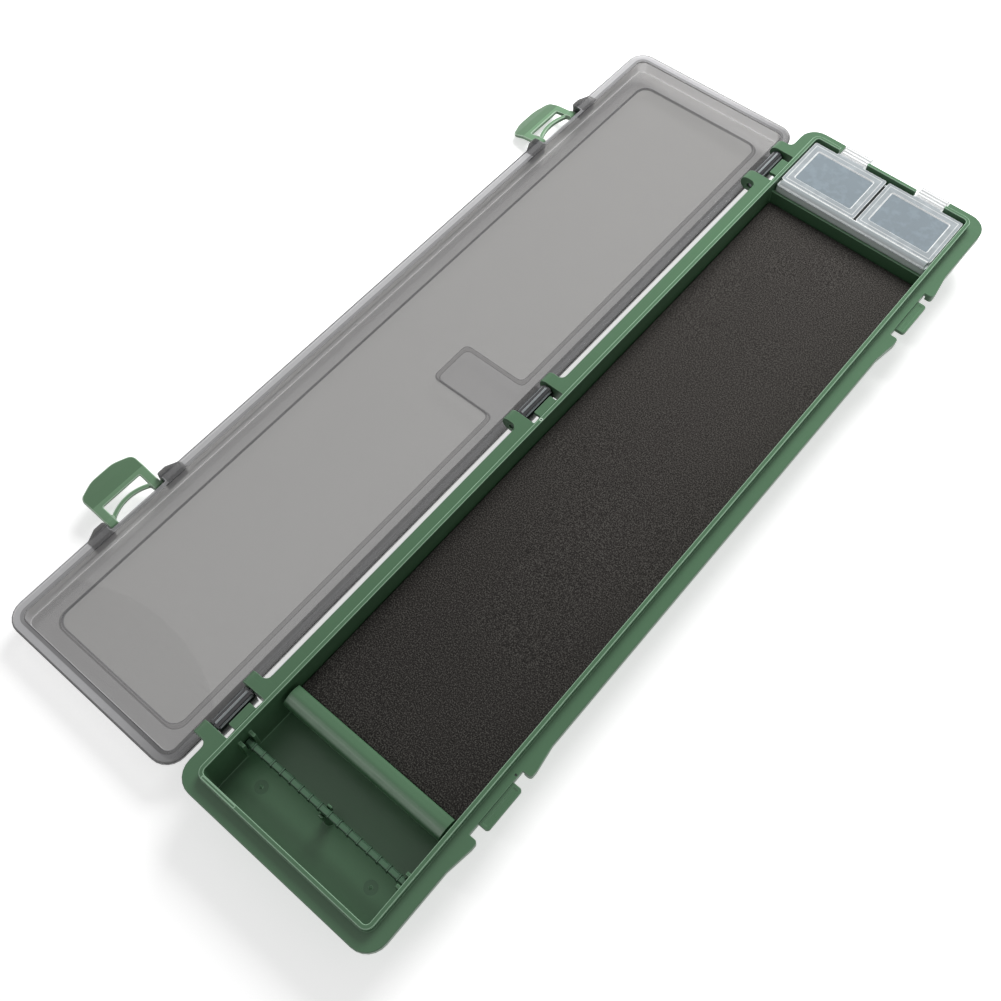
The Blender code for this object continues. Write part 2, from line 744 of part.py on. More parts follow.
def make_foam():
    side = INNER_WIDTH / 2 - SIDE_CLEARANCE
    low = FLOOR + SEAT_GAP
    foam = slab(
        "foam_pad",
        (-side, NEAR + LEDGE_END + SIDE_CLEARANCE, low),
        (side, DIVIDER_FRONT - SIDE_CLEARANCE, low + FOAM_THICKNESS),
        corner=FOAM_CORNER_RADIUS,
        top_edge=FOAM_EDGE_RADIUS,
    )
    finish(foam, material("foam", (58, 52, 49), 0.95))


def chamfered_square(half, chamfer):
    """Outline of a square about the origin with its corners cut off."""
    flat = half - chamfer
    corners = []
    for across, up in ((1, 1), (-1, 1), (-1, -1), (1, -1)):
        pair = [Vector((across * half, up * flat)), Vector((across * flat, up * half))]
        corners += pair if across == up else reversed(pair)
    return corners


def make_rig_bar():
    """Square bar with a slim collar at each pitch, which turns about its own middle line."""
    half = INNER_WIDTH / 2 - BAR_END_GAP
    bar = prism("rig_bar", chamfered_square(BAR_HALF_WIDTH, BAR_CHAMFER), "X", -half, half)
    collar_view = chamfered_square(BAR_HALF_WIDTH + COLLAR_RISE, BAR_CHAMFER)
    first = COLLAR_INSET - half
    pitch = -2 * first / (COLLAR_COUNT - 1)
    for index in range(COLLAR_COUNT):
        start = first + pitch * index - COLLAR_WIDTH / 2
        fuse(bar, prism(f"collar_{index}", collar_view, "X", start, start + COLLAR_WIDTH))
    finish(bar, material("green_bar", (96, 134, 110), 0.4), place=(0, BAR_Y, BAR_Z))


def make_bit_box():
    """Open box of two cells with a rounded strip along its front edge, which carries the lids."""
    side = INNER_WIDTH / 2 - BOX_SIDE_CLEARANCE
    box = slab(
        "bit_box", (-side, BOX_FRONT, BOX_LOW), (side, BOX_BACK, BOX_TOP), corner=BOX_CORNER_RADIUS
    )
    for sign in (-1, 1):
        ends = sorted((sign * BOX_WALL / 2, sign * (side - BOX_WALL)))
        cell = box_between(
            f"cell_{sign}",
            *ends,
            BOX_FRONT + BOX_WALL, BOX_BACK - BOX_WALL,
            BOX_LOW + BOX_WALL, BOX_TOP + OVERRUN,
        )
        cut(box, cell)
    strip_far = BOX_FRONT + STRIP_LENGTH
    strip_low = BIT_LID_TOP - STRIP_HEIGHT
    strip_view = rounded(
        [
            (strip_far, strip_low, 0),
            (strip_far, BIT_LID_TOP, 0),
            (BOX_FRONT, BIT_LID_TOP, STRIP_RADIUS),
            (BOX_FRONT + MERGE, strip_low, 0),
        ]
    )
    fuse(box, prism("strip", strip_view, "X", -side + BOX_CORNER_RADIUS, side - BOX_CORNER_RADIUS))
    return finish(box, material("milky_box", (190, 196, 196), 0.3, alpha=0.75))


def thumb_tab_view():
    """Side view of a thumb tab: over the box's back wall, down its far side and out under the big lid."""
    drop_near = BOX_BACK + SEAT_GAP
    drop_far = drop_near + THUMB_TAB_THICKNESS
    tip = OUTER_Y + THUMB_TAB_PAST_FLANGE
    radius = THUMB_TAB_RADIUS
    return rounded(
        [
            (BOX_BACK - OVERRUN, BIT_LID_LOW, 0),
            (drop_near, BIT_LID_LOW, 0),
            (drop_near, THUMB_TAB_LOW, 0),
            (tip, THUMB_TAB_LOW, radius),
            (tip, THUMB_TAB_TOP, radius),
            (drop_far, THUMB_TAB_TOP, radius),
            (drop_far, BIT_LID_TOP - MERGE, radius),
            (BOX_BACK - OVERRUN, BIT_LID_TOP - MERGE, 0),
        ]
    )


def make_bit_lid(name, sign, look):
    """One small lid, modelled in place and then given its hinge line as its origin."""
    side = INNER_WIDTH / 2 - BIT_LID_SIDE_INSET
    ends = sorted((sign * BIT_LID_SPLIT / 2, sign * side))
    front = BIT_HINGE_Y + HINGE_LINE_GAP / 2
    back = BOX_BACK + BIT_LID_OVERHANG
    lid = box_between(name, *ends, front, back, BIT_LID_LOW, BIT_LID_TOP, corner=BIT_LID_CORNER_RADIUS)
    middle = sign * NOTCH_SPACING / 2
    half = THUMB_TAB_WIDTH / 2
    fuse(lid, prism("thumb_tab", thumb_tab_view(), "X", middle - half, middle + half))
    border = BIT_LID_BORDER
    dish = box_between(
        "dish",
        ends[0] + border, ends[1] - border,
        front + border, back - border,
        BIT_LID_TOP - BIT_LID_DISH, BIT_LID_TOP + OVERRUN,
        corner=BIT_LID_CORNER_RADIUS,
    )
    cut(lid, dish)
    plug_ends = sorted((sign * (BOX_WALL / 2 + SEAT_GAP), sign * (side - BOX_WALL - SEAT_GAP)))
    plug = box_between(
        "plug",
        *plug_ends,
        front + BOX_WALL, BOX_BACK - BOX_WALL - 2 * SEAT_GAP,
        BIT_LID_LOW - BIT_LID_PLUG, BIT_LID_LOW + BIT_LID_DISH,
        corner=BIT_LID_CORNER_RADIUS,
    )
    fuse(lid, plug)
    inner_ends = (plug_ends[0] + BOX_WALL, plug_ends[1] - BOX_WALL)
    relief = box_between(
        "relief",
        *inner_ends,
        front + 2 * BOX_WALL, BOX_BACK - 2 * BOX_WALL - 2 * SEAT_GAP,
        BIT_LID_LOW - BIT_LID_PLUG - OVERRUN, BIT_LID_LOW,
        corner=BIT_LID_CORNER_RADIUS,
    )
    cut(lid, relief)
    hinge = Vector((sum(ends) / 2, BIT_HINGE_Y, BIT_LID_TOP))
    lid.data.transform(Matrix.Translation(-hinge))
    for step in lid.modifiers:
        step.object.data.transform(Matrix.Translation(-hinge))
    return finish(lid, look, place=hinge)


def make_bit_lids():
    clear = material("clear_lid", (150, 163, 168), 0.18, alpha=0.6)
    make_bit_lid("bit_box_lid_left", -1, clear)
    make_bit_lid("bit_box_lid_right", 1, clear)


# Lid: everything here is in the shut lid's frame, measured from the hinge axis


def from_axis(x, z):
    """Place of a shut-lid point as seen from the hinge axis."""
    return x - AXIS.x, z - AXIS.z


def lid_slab(name, inset, z_low, z_high, **rounding):
    """Slab as long and wide as the lid less an inset all round, in the lid's frame."""
    x_low, low = from_axis(-OUTER_X + inset, z_low)
    x_high, high = from_axis(OUTER_X - inset, z_high)
    return box_between(name, x_low, x_high, -OUTER_Y + inset, OUTER_Y - inset, low, high, **rounding)


def panel_outline(inset):
    """Plan of the raised panel, with its notch beside the middle hinge."""
    low, _ = from_axis(-OUTER_X + PANEL_MARGIN + inset, 0)
    high, _ = from_axis(OUTER_X - PANEL_MARGIN - inset, 0)
    end = OUTER_Y - PANEL_MARGIN - inset
    notch_x = low + PANEL_NOTCH_DEPTH
    notch_y = PANEL_NOTCH_WIDTH / 2 + inset
    corner = PANEL_CORNER_RADIUS
    small = PANEL_NOTCH_RADIUS
    return rounded(
        [
            (low, -end, corner),
            (high, -end, corner),
            (high, end, corner),
            (low, end, corner),
            (low, notch_y, small),
            (notch_x, notch_y, small),
            (notch_x, -notch_y, small),
            (low, -notch_y, small),
        ]
    )


def barrel_outline():
    """Side view of a hinge barrel with the neck that joins it to the lid's edge."""
    radius = BARREL_RADIUS
    turn = radius - MERGE
    _, flange_low = from_axis(0, LID_LOW)
    reach, neck_top = from_axis(
        -OUTER_X + LID_LEDGE + EMBED, LID_LOW + LID_FLANGE_THICKNESS + BARREL_NECK_RISE
    )
    return rounded(
        [
            (-radius, -radius, turn),
            (radius, -radius, turn),
            (radius, flange_low + MERGE, 0),
            (reach, flange_low + MERGE, 0),
            (reach, neck_top, 0),
            (-radius, neck_top, BARREL_NECK_RADIUS),
        ]
    )


def add_barrels(lid):
    length = HINGE_OPENING - 2 * SIDE_CLEARANCE
    for where, middle in HINGE_PLACES.items():
        low = middle - length / 2
        high = middle + length / 2
        fuse(lid, prism(f"barrel_{where}", barrel_outline(), "Y", low, high))
        for index, share in enumerate(BARREL_GROOVE_SHARES):
            angle = -math.pi * share
            x = BARREL_RADIUS * math.cos(angle)
            z = BARREL_RADIUS * math.sin(angle)
            groove = rod(
                f"groove_{where}_{index}",
                (x, low + BARREL_GROOVE_INSET, z), (x, high - BARREL_GROOVE_INSET, z),
                BARREL_GROOVE_RADIUS,
                sides=GROOVE_SIDES,
            )
            cut(lid, groove)
        bore = rod(
            f"bore_{where}",
            (0, low - OVERRUN, 0), (0, high + OVERRUN, 0),
            PIN_RADIUS + PIN_CLEARANCE,
        )
        cut(lid, bore)


def lug_plan(middle, side):
    """Plan of a latch lug: full at its tip, running back into the lid's edge."""
    root, _ = from_axis(OUTER_X - LID_LEDGE - LID_WALL / 2, 0)
    edge, _ = from_axis(OUTER_X, 0)
    tip = edge + PIVOT_REACH + LUG_NOSE_RADIUS
    start = middle + side * (CATCH_OPENING / 2)
    full = start + side * LUG_LENGTH
    return rounded(
        [
            (root, start, 0),
            (tip, start, LUG_TIP_RADIUS),
            (tip, full, LUG_TIP_RADIUS),
            (edge - MERGE, full + side * LUG_RAMP, 0),
            (root, full + side * LUG_RAMP, 0),
        ]
    )


def lug_side():
    """Side view of a latch lug, rounded about the latch's pivot."""
    root, low = from_axis(OUTER_X - LID_LEDGE - LID_WALL / 2, LID_LOW + MERGE)
    tip, high = from_axis(PIVOT_X + LUG_NOSE_RADIUS, PIVOT_Z + LUG_NOSE_RADIUS)
    return rounded(
        [(root, low, 0), (tip, low, 0), (tip, high, LUG_NOSE_RADIUS), (root, high, 0)]
    )


def add_latch_lugs(lid):
    """Recess for each latch in the lid's edge, and a lug with a pivot socket on either side of it."""
    pivot_x, pivot_z = from_axis(PIVOT_X, PIVOT_Z)
    edge, low = from_axis(OUTER_X, LID_LOW)
    for where, middle in CATCH_PLACES.items():
        recess = box_between(
            f"latch_recess_{where}",
            edge - LID_LEDGE + RECESS_LIP, edge + OVERRUN,
            middle - CATCH_OPENING / 2, middle + CATCH_OPENING / 2,
            low - OVERRUN, low + LID_FLANGE_THICKNESS + OVERRUN,
        )
        cut(lid, recess)
        for side in (-1, 1):
            lug = prism(f"lug_{where}_{side}", lug_plan(middle, side), "Z", low - OVERRUN, low + LID_HEIGHT)
            ends = sorted((middle, middle + side * CATCH_OPENING))
            keep_shared(lug, prism(f"lug_side_{where}_{side}", lug_side(), "Y", *ends))
            fuse(lid, lug)
        reach = CATCH_OPENING / 2 + LATCH_STUB_LENGTH + SIDE_CLEARANCE
        socket = rod(
            f"socket_{where}",
            (pivot_x, middle - reach, pivot_z), (pivot_x, middle + reach, pivot_z),
            LATCH_STUB_RADIUS + STUB_CLEARANCE,
            sides=SMALL_SIDES,
        )
        cut(lid, socket)


def make_lid(hinge):
    shoulder = LID_TOP - PANEL_RISE
    lid = lid_slab(
        "lid", 0, LID_LOW, LID_LOW + LID_FLANGE_THICKNESS,
        corner=FLANGE_CORNER_RADIUS, top_edge=RIM_EDGE_RADIUS,
    )
    dome = lid_slab(
        "dome", LID_LEDGE, LID_LOW + EMBED, shoulder,
        corner=FLANGE_CORNER_RADIUS - LID_LEDGE, top_edge=LID_TOP_EDGE_RADIUS,
    )
    fuse(lid, dome)
    _, plate_low = from_axis(0, shoulder - LID_PLATE)
    _, top = from_axis(0, LID_TOP)
    fuse(lid, prism("panel", panel_outline(-PANEL_STEP), "Z", plate_low + EMBED, top))
    add_barrels(lid)
    add_latch_lugs(lid)
    inset = LID_LEDGE + LID_WALL
    inside = lid_slab(
        "inside", inset, LID_LOW - OVERRUN, shoulder - LID_PLATE,
        corner=FLANGE_CORNER_RADIUS - inset,
    )
    cut(lid, inside)
    cut(lid, prism("panel_inside", panel_outline(0), "Z", plate_low - OVERRUN, top - LID_PLATE))
    return finish(lid, material("smoky_lid", (150, 149, 147), 0.22, alpha=0.55), parent=hinge)


# Latches: modelled hanging down from the pivot, which is the origin


def latch_plan():
    """Front view of a latch: straight arms and a pad with a gently bowed end (across, up)."""
    half = CATCH_OPENING / 2 - LATCH_SIDE_CLEARANCE
    top = LATCH_HUB_RADIUS + OVERRUN
    crown = half * LATCH_END_SHARE
    return rounded(
        [
            (-half, top, 0),
            (-half, -LATCH_SIDE_LENGTH, LATCH_CORNER_RADIUS),
            (-crown, -LATCH_LENGTH, LATCH_END_RADIUS),
            (crown, -LATCH_LENGTH, LATCH_END_RADIUS),
            (half, -LATCH_SIDE_LENGTH, LATCH_CORNER_RADIUS),
            (half, top, 0),
        ]
    )


def latch_side():
    """Side view of a latch: round hub, flat plate, then a pad that curls outward (out, up)."""
    hub = LATCH_HUB_RADIUS
    plate = LATCH_PLATE / 2
    pad = LATCH_PAD_START
    flare = LATCH_PAD_FLARE
    tip = LATCH_TIP_THICKNESS
    middle = (pad + LATCH_LENGTH) / 2
    return rounded(
        [
            (-hub, hub, hub - MERGE),
            (-hub, -hub, hub / 2),
            (-plate, -2 * hub, hub / 2),
            (-plate, -pad, plate * 4),
            (flare / 2 - plate, -middle, plate * 4),
            (flare, -LATCH_LENGTH - OVERRUN, 0),
            (flare + tip, -LATCH_LENGTH - OVERRUN, 0),
            (flare / 2 + plate, -middle, plate * 4),
            (plate, -pad, plate * 4),
            (plate, -2 * hub, hub / 2),
            (hub, -hub, hub / 2),
            (hub, hub, hub - MERGE),
        ]
    )


def bow_outline():
    """Front view of the springy bow that crosses the window, as a strip between two arcs."""
    half = WINDOW_WIDTH / 2 + EMBED
    rise = BOW_REACH - BOW_THICKNESS / 2 - BOW_ROOT
    radius = (half * half + rise * rise) / (2 * rise)
    centre = Vector((0, -BOW_ROOT - rise + radius))
    spread = math.asin(half / radius)
    edges = []
    for reach in (radius + BOW_THICKNESS / 2, radius - BOW_THICKNESS / 2):
        arc = []
        for step in range(BOW_STEPS + 1):
            angle = spread * (2 * step / BOW_STEPS - 1)
            arc.append(centre + reach * Vector((math.sin(angle), -math.cos(angle))))
        edges.append(arc)
    return edges[0] + edges[1][::-1]


def make_latch(where, look, hinge):
    middle = CATCH_PLACES[where]
    half = CATCH_OPENING / 2 - LATCH_SIDE_CLEARANCE
    latch = prism(f"latch_{where}", latch_side(), "Y", -half, half)
    out = LATCH_PAD_FLARE + LATCH_LENGTH
    keep_shared(latch, prism("plan", latch_plan(), "X", -out, out))
    window = box_between(
        "window",
        -out, out,
        -WINDOW_WIDTH / 2, WINDOW_WIDTH / 2,
        -WINDOW_END, LATCH_HUB_RADIUS + OVERRUN,
    )
    cut(latch, window)
    bow_half = LATCH_PLATE / 2 - MERGE
    fuse(latch, prism("bow", bow_outline(), "X", -bow_half, bow_half))
    for side in (-1, 1):
        ends = sorted((side * (half - EMBED), side * (CATCH_OPENING / 2 + LATCH_STUB_LENGTH)))
        stub = rod(
            f"stub_{side}", (0, ends[0], 0), (0, ends[1], 0), LATCH_STUB_RADIUS, sides=SMALL_SIDES
        )
        fuse(latch, stub)
    pivot_x, pivot_z = from_axis(PIVOT_X, PIVOT_Z)
    return finish(
        latch, look, parent=hinge, place=(pivot_x, middle, pivot_z), turn=-LATCH_ANGLES[where]
    )


def make_lid_group():
    hinge = bpy.data.objects.new("lid_hinge_axis", None)
    PARTS.objects.link(hinge)
    hinge.location = AXIS
    hinge.rotation_euler[1] = -LID_OPEN_ANGLE
    make_lid(hinge)
    look = material("green_latch", (96, 134, 106), 0.42)
    for where in CATCH_PLACES:
        make_latch(where, look, hinge)


empty_scene()
PARTS = collection("rig_box")
CUTTERS = collection("rig_box_cutters")
make_tray()
make_hinge_pins()
make_foam()
make_rig_bar()
make_bit_box()
make_bit_lids()
make_lid_group()
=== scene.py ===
"""Dresses the rig box and its studio: a moulded green tray and latches, a smoky see-through lid,
a foam board, a turning rig bar and a small bit box with clear lids."""

import json
import math

import bmesh
import bpy
from bpy.props import FloatProperty, FloatVectorProperty, PointerProperty
from mathutils import Matrix, Vector, noise
from mathutils.bvhtree import BVHTree


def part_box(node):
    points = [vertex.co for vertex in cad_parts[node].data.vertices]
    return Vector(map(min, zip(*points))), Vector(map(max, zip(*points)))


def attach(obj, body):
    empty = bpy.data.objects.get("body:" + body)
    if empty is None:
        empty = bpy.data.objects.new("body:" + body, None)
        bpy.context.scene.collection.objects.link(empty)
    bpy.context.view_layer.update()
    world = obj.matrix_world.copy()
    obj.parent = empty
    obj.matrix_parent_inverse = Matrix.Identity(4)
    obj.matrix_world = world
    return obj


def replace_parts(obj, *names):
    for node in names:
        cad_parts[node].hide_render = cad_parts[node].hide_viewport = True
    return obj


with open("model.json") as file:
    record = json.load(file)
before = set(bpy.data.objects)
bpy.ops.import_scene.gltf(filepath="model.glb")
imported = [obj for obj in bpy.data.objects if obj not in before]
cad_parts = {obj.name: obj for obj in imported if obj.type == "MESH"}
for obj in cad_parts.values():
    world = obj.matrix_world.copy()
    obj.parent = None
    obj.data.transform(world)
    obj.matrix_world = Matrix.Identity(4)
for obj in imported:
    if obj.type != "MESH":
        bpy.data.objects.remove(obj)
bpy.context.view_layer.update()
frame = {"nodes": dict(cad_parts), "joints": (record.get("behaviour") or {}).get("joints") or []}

bl_info = {
    "name": "Rig box dressing",
    "version": (1, 0, 0),
    "blender": (4, 5, 0),
    "location": "3D View > Sidebar > Rig box",
    "description": "Finishes, soft edges and small fittings for a long flat rig box",
    "category": "Object",
}

MM = 0.001

# Heights closer than this are one level, and edges that turn by more than this get rounded
LEVEL = 1e-5
SHARP = math.radians(33)

# Faces that turn by less than this are joined into one, when a solid is read and after rounding
SAME_FACE = math.radians(0.6)
SAME_FLAT = math.radians(0.1)

# Corners of a rounding further from the solid than this share of its width are pulled back onto it
STRAY = 0.45

# Heights of the tray's rim, of the rim's own rounding and of the flange, and marks that the
# tray's moulding left on them
RIM_TOP = 22.2 * MM
RIM_ROUNDING = 0.36 * MM
TRAY_FLANGE_TOP = 19.0 * MM
GATE_MARK = Vector((-0.0354, -0.007, RIM_TOP))
EJECTOR_MARK = Vector((0.0389, -0.11, TRAY_FLANGE_TOP))
INSERT_LOW = Vector((-0.0336, -0.1734, RIM_TOP))
INSERT_HIGH = Vector((-0.019, -0.1723, RIM_TOP))

# The lid's hinge line and how far the lid is turned open, then the places that its fittings take
HINGE_LINE = Vector((-0.04415, 0, 0.01545))
LID_TURN = math.radians(181.3)
BARREL_REACH = 3.7 * MM
BARREL_RADIUS = 2.7 * MM
BARREL_BORE = 1.3 * MM
BARREL_HALF = 8.6 * MM
LID_FLANGE_LOW = 19.35 * MM
LID_FLANGE_TOP = 20.95 * MM
LID_SHELF_LOW = 24.8 * MM
LID_SHELF_TOP = 26.2 * MM
LID_MIDDLE = Vector((-0.0883, 0, 0))
LID_HOLLOW = Vector((0.03715, 0.1745, 1))
LID_HOLLOW_CORNER = 3.0 * MM
LID_WALL = 1.5 * MM
LID_REACH = 4.5 * MM
CATCH_HALF = 13.0 * MM
LUG_REACH = 8.8 * MM
FLOW_MARK = Vector((-0.09, -0.213, 0.006))
FLOW_RADIUS = 70.0 * MM
FLOW_EDGE = 1.2 * MM
FLOW_HAZE = 0.05

# How the lid's flange darkens, by painted shade lines over the wall and along its edge and a painted
# shadow towards the hinges: how far past the hollow, from where to where across the lid, and what is
# left of its tone there
WALL_LINE = (LID_WALL + 0.1 * MM, LID_WALL - 0.1 * MM)
EDGE_LINE = (LID_REACH - 0.8 * MM, LID_REACH - 0.6 * MM)
WALL_SHARE = 0.65
LINE_LEFT = 0.2
SHADOW_ACROSS = (-0.13, -0.047)
SHADOW_BEND = 4.0
SHADOW_LEFT = 0.26
BARRELS_ACROSS = (-0.0522, -0.0516)
LUGS_ACROSS = (-0.1252, -0.1258)
THICK_LEFT = 0.3
THICK_FADE = 0.3 * MM
SAME_HAZE = 0.01

# Small lids: their top, the depth of the dish in it, and their thumb tabs with their ribs
SMALL_LID_TOP = 21.3 * MM
SMALL_LID_DISH = 0.35 * MM
SMALL_LID_BACK = 170.4 * MM
LINE_INSET = 1.3 * MM
THUMB_TAB_START = 173.3 * MM
THUMB_TAB_TOP = 18.85 * MM
THUMB_RIBS = (0.1751, 0.1767, 0.1783)

# The strip along the bit box's front, and how far the web behind it stays off the small lids
STRIP_LOW = 16.0 * MM
WEB_ENDS = 1.0 * MM
WEB_DEEP = 0.6 * MM
WEB_BEHIND = 0.05 * MM
WEB_BELOW = 0.1 * MM

# The ledge across the near bay and its long flat slopes
LEDGE_START = Vector((0, -0.1401, 0.0155))
LEDGE_END = Vector((0, -0.1318, 0.0187))
LEDGE_SLOPE_AREA = 90e-6
LEDGE_CUTS = 4

# Places in the near bay that are shaded a little
BAY_FLOOR = 1.6 * MM
DIMPLES = (Vector((-0.02415, -0.1621)), Vector((0.02415, -0.1621)))
DIMPLE_REACH = 3.6 * MM
POST = Vector((0, -0.1553))
POST_REACH = 2.6 * MM

# How far from its pivot a latch's pad starts
LATCH_PAD_START = 8.9 * MM

# Cloudy spots of the small lids: how fine, between which values of the noise, and their haze
MOTTLE_SCALE = 260.0
MOTTLE_FROM = (0.48, 0.66)
MOTTLE_HAZE = 0.14

# The foam: where painted shade darkens it towards the board's near end, the scales of its unevenness and how
# deep it lies
FOAM_PAINTED_SHADE = (-0.17, 0.03)
FOAM_ROLL = 28.0
FOAM_RIPPLE = 75.0
FOAM_SINK = 0.6

# Share of light that clear plastic mirrors when seen straight on and at grazing
MIRROR_STRAIGHT = 0.04
MIRROR_GRAZING = 0.7

# The floor, and where its paper fades to the white behind it, with its glow there
FLOOR_RADIUS = 4.0
FLOOR_DROP = 0.1 * MM
FADE_START = 0.4
FADE_END = 1.0
FAR_GLOW = 0.8

# The lights: place, what each is turned to, and size
KEY_PLACE = Vector((-0.15, 0.47, 0.46))
KEY_TARGET = Vector((-0.02, 0.05, 0.01))
KEY_SIZE = (0.36, 0.36)
STRIP_PLACE = Vector((-0.18, -0.57, 0.56))
STRIP_TARGET = Vector((0, -0.14, 0.017))
STRIP_SIZE = (0.4, 0.08)

# The camera, found from the rim's and the flange's edges in the photograph
CAMERA_PLACE = (0.09728, -0.18325, 0.37273)
CAMERA_RIGHT = Vector((0.7637, 0.6455, -0.0059))
CAMERA_AHEAD = Vector((-0.30853, 0.35700, -0.88168))
CAMERA_LENS = 41.66


def screen(red, green, blue):
    """Linear colour from the 0 to 255 values that a screen shows."""
    shares = [value / 255 for value in (red, green, blue)]
    return tuple(part / 12.92 if part < 0.04045 else ((part + 0.055) / 1.055) ** 2.4 for part in shares)


def colour(name, description, *shown):
    return FloatVectorProperty(
        name=name, description=description, subtype="COLOR", size=3, min=0.0, max=1.0, default=screen(*shown)
    )


def length(name, description, size):
    return FloatProperty(
        name=name, description=description, default=size * MM, min=0.0, unit="LENGTH", subtype="DISTANCE"
    )


def share(name, description, value):
    return FloatProperty(
        name=name, description=description, default=value, min=0.0, max=1.0, subtype="FACTOR"
    )


class RigBoxColours(bpy.types.PropertyGroup):
    """Colours of the box's materials"""

    tray: colour("Tray", "Green of the moulded tray", 74, 110, 80)
    # painted highlight: the tray's rounded lower edges are a paler green than the tray
    tray_edge_highlight: colour("Tray edges", "Green along the tray's lower edges", 92, 128, 98)
    tray_shade: colour("Tray hollows", "Darker green of the dimples and the bar's post", 62, 94, 68)
    # painted highlight: the rim's rounded edges are painted pale, as if they catch the light
    rim_highlight: colour("Rim edges", "Pale green along the tray's rim", 148, 182, 154)
    gate: colour("Gate mark", "Pale ring of the gate mark", 196, 222, 200)
    # painted shade: the pits are dark discs that stand up a little, their dark standing in for the shade
    # inside a pit
    mark: colour("Moulding marks", "Dark green of the pits that moulding leaves", 24, 38, 28)
    latch: colour("Latches", "Green of the two latches", 86, 120, 89)
    # painted light: the arms and bows are a paler copy of the latch's green, where light falls on them
    latch_arm_lit: colour("Latch arms", "Paler green of the latches' arms and bows", 112, 148, 115)
    # painted highlight: the latches' rounded edges are painted palest
    latch_edge: colour("Latch edges", "Palest green along the latches' edges", 172, 200, 174)
    bar: colour("Rig bar", "Green of the turning bar", 68, 103, 77)
    # painted shade: the bar's edges and its collars' sides are painted dark green
    bar_edge: colour("Bar edges", "Dark green along the bar's edges and its collars' sides", 34, 54, 41)
    smoke: colour("Lid", "Haze of the smoky lid", 150, 149, 148)
    # painted shade: dark lines along the lid's rounded edges
    smoke_line_shade: colour("Lid lines", "Dark line along the lid's edges", 44, 45, 50)
    # painted shade: the step round the raised panel is painted darker
    smoke_step_shade: colour("Lid step", "Grey of the step round the lid's raised panel", 84, 84, 89)
    smoke_shelf: colour("Lid shelf", "Grey of the shelf round the lid's raised panel", 104, 102, 106)
    # painted shade: the walls get a darker blue grey
    smoke_wall_shade: colour("Lid wall", "Blue grey of the lid's walls", 74, 76, 86)
    # painted light: the inner faces of the walls are painted pale
    smoke_inner_lit: colour("Lid wall, inside", "Pale inner face of the lid's walls", 244, 243, 246)
    # painted shade: dark line where the wall meets the flange
    smoke_rim_shade: colour("Lid wall line", "Line where the lid's wall meets its flange", 58, 59, 67)
    smoke_deep: colour("Lid barrels", "Dark of the lid's thick barrels", 30, 32, 36)
    smoke_lug: colour("Lid lugs", "Grey of the lid's latch lugs", 66, 66, 71)
    # painted highlight: pale lines along the barrels' ribs
    smoke_rib_highlight: colour("Barrel ribs", "Pale line along the barrels' ribs", 160, 166, 168)
    frost: colour("Lid flange", "Frosted face of the lid's flange", 204, 204, 207)
    milk: colour("Bit box", "Milky plastic of the bit box", 220, 228, 229)
    strip_top: colour("Strip top", "Top of the strip along the bit box's front", 150, 158, 160)
    # painted light: the strip's front is painted near white
    strip_front_lit: colour("Strip front", "Front of the same strip", 244, 249, 250)
    clear: colour("Bit lids", "Clear plastic of the bit box's lids", 178, 186, 190)
    clear_panel: colour("Bit lid panel", "Cool tint inside the bit lids' border", 139, 153, 162)
    # painted highlight: white along the clear plastic's edges and raised lines
    clear_line: colour("Bit lid lines", "White line along the bit lids' edges", 244, 246, 246)
    tab: colour("Thumb tabs", "Clear plastic of the thumb tabs", 184, 186, 187)
    # painted shade: the partition's top under the gap is painted near black
    gap: colour("Gap", "Shade in the gap between the small lids", 30, 35, 34)
    foam: colour("Foam", "Charcoal of the foam board", 62, 59, 57)
    fleck: colour("Foam flecks", "Paler cut cells in the foam", 96, 94, 90)
    steel: colour("Hinge pins", "Steel of the hinge pins", 120, 120, 126)
    floor: colour("Floor", "Paper that the box stands on", 232, 232, 232)


class RigBoxSizes(bpy.types.PropertyGroup):
    """Sizes that finish the pieces"""

    edge: length("Edge softness", "Radius on the tray's moulded edges", 0.26)
    latch_edge: length("Latch edges", "Radius on the latches' edges", 0.4)
    bar_edge: length("Bar edges", "Radius on the rig bar's edges", 0.1)
    lid_edge: length("Lid edges", "Radius on the lid's edges", 0.3)
    small_edge: length("Small edges", "Radius on the bit box's edges", 0.24)
    mark_rise: length("Mark height", "How far a moulding mark stands up", 0.06)
    gate_radius: length("Gate mark", "Radius of the round mark by the middle hinge", 0.75)
    pit_radius: length("Pit", "Radius of the dark pit in a moulding mark", 0.36)
    line_width: length("Small lid line", "Width of the raised line on a small lid", 0.3)
    rib_width: length("Thumb rib width", "Width of a rib on a thumb tab", 0.8)
    rib_height: length("Thumb rib height", "Height of a rib on a thumb tab", 0.12)
    ledge_belly: length("Ledge belly", "How far the ledge's slopes bow out", 0.05)
    foam_edge: length("Foam edge", "Radius along the foam board's rim", 1.1)
    foam_wave: length("Foam waviness", "How far the foam's face rises and falls", 0.12)
    foam_step: length("Foam mesh", "Distance between the foam's rows of points", 3.0)


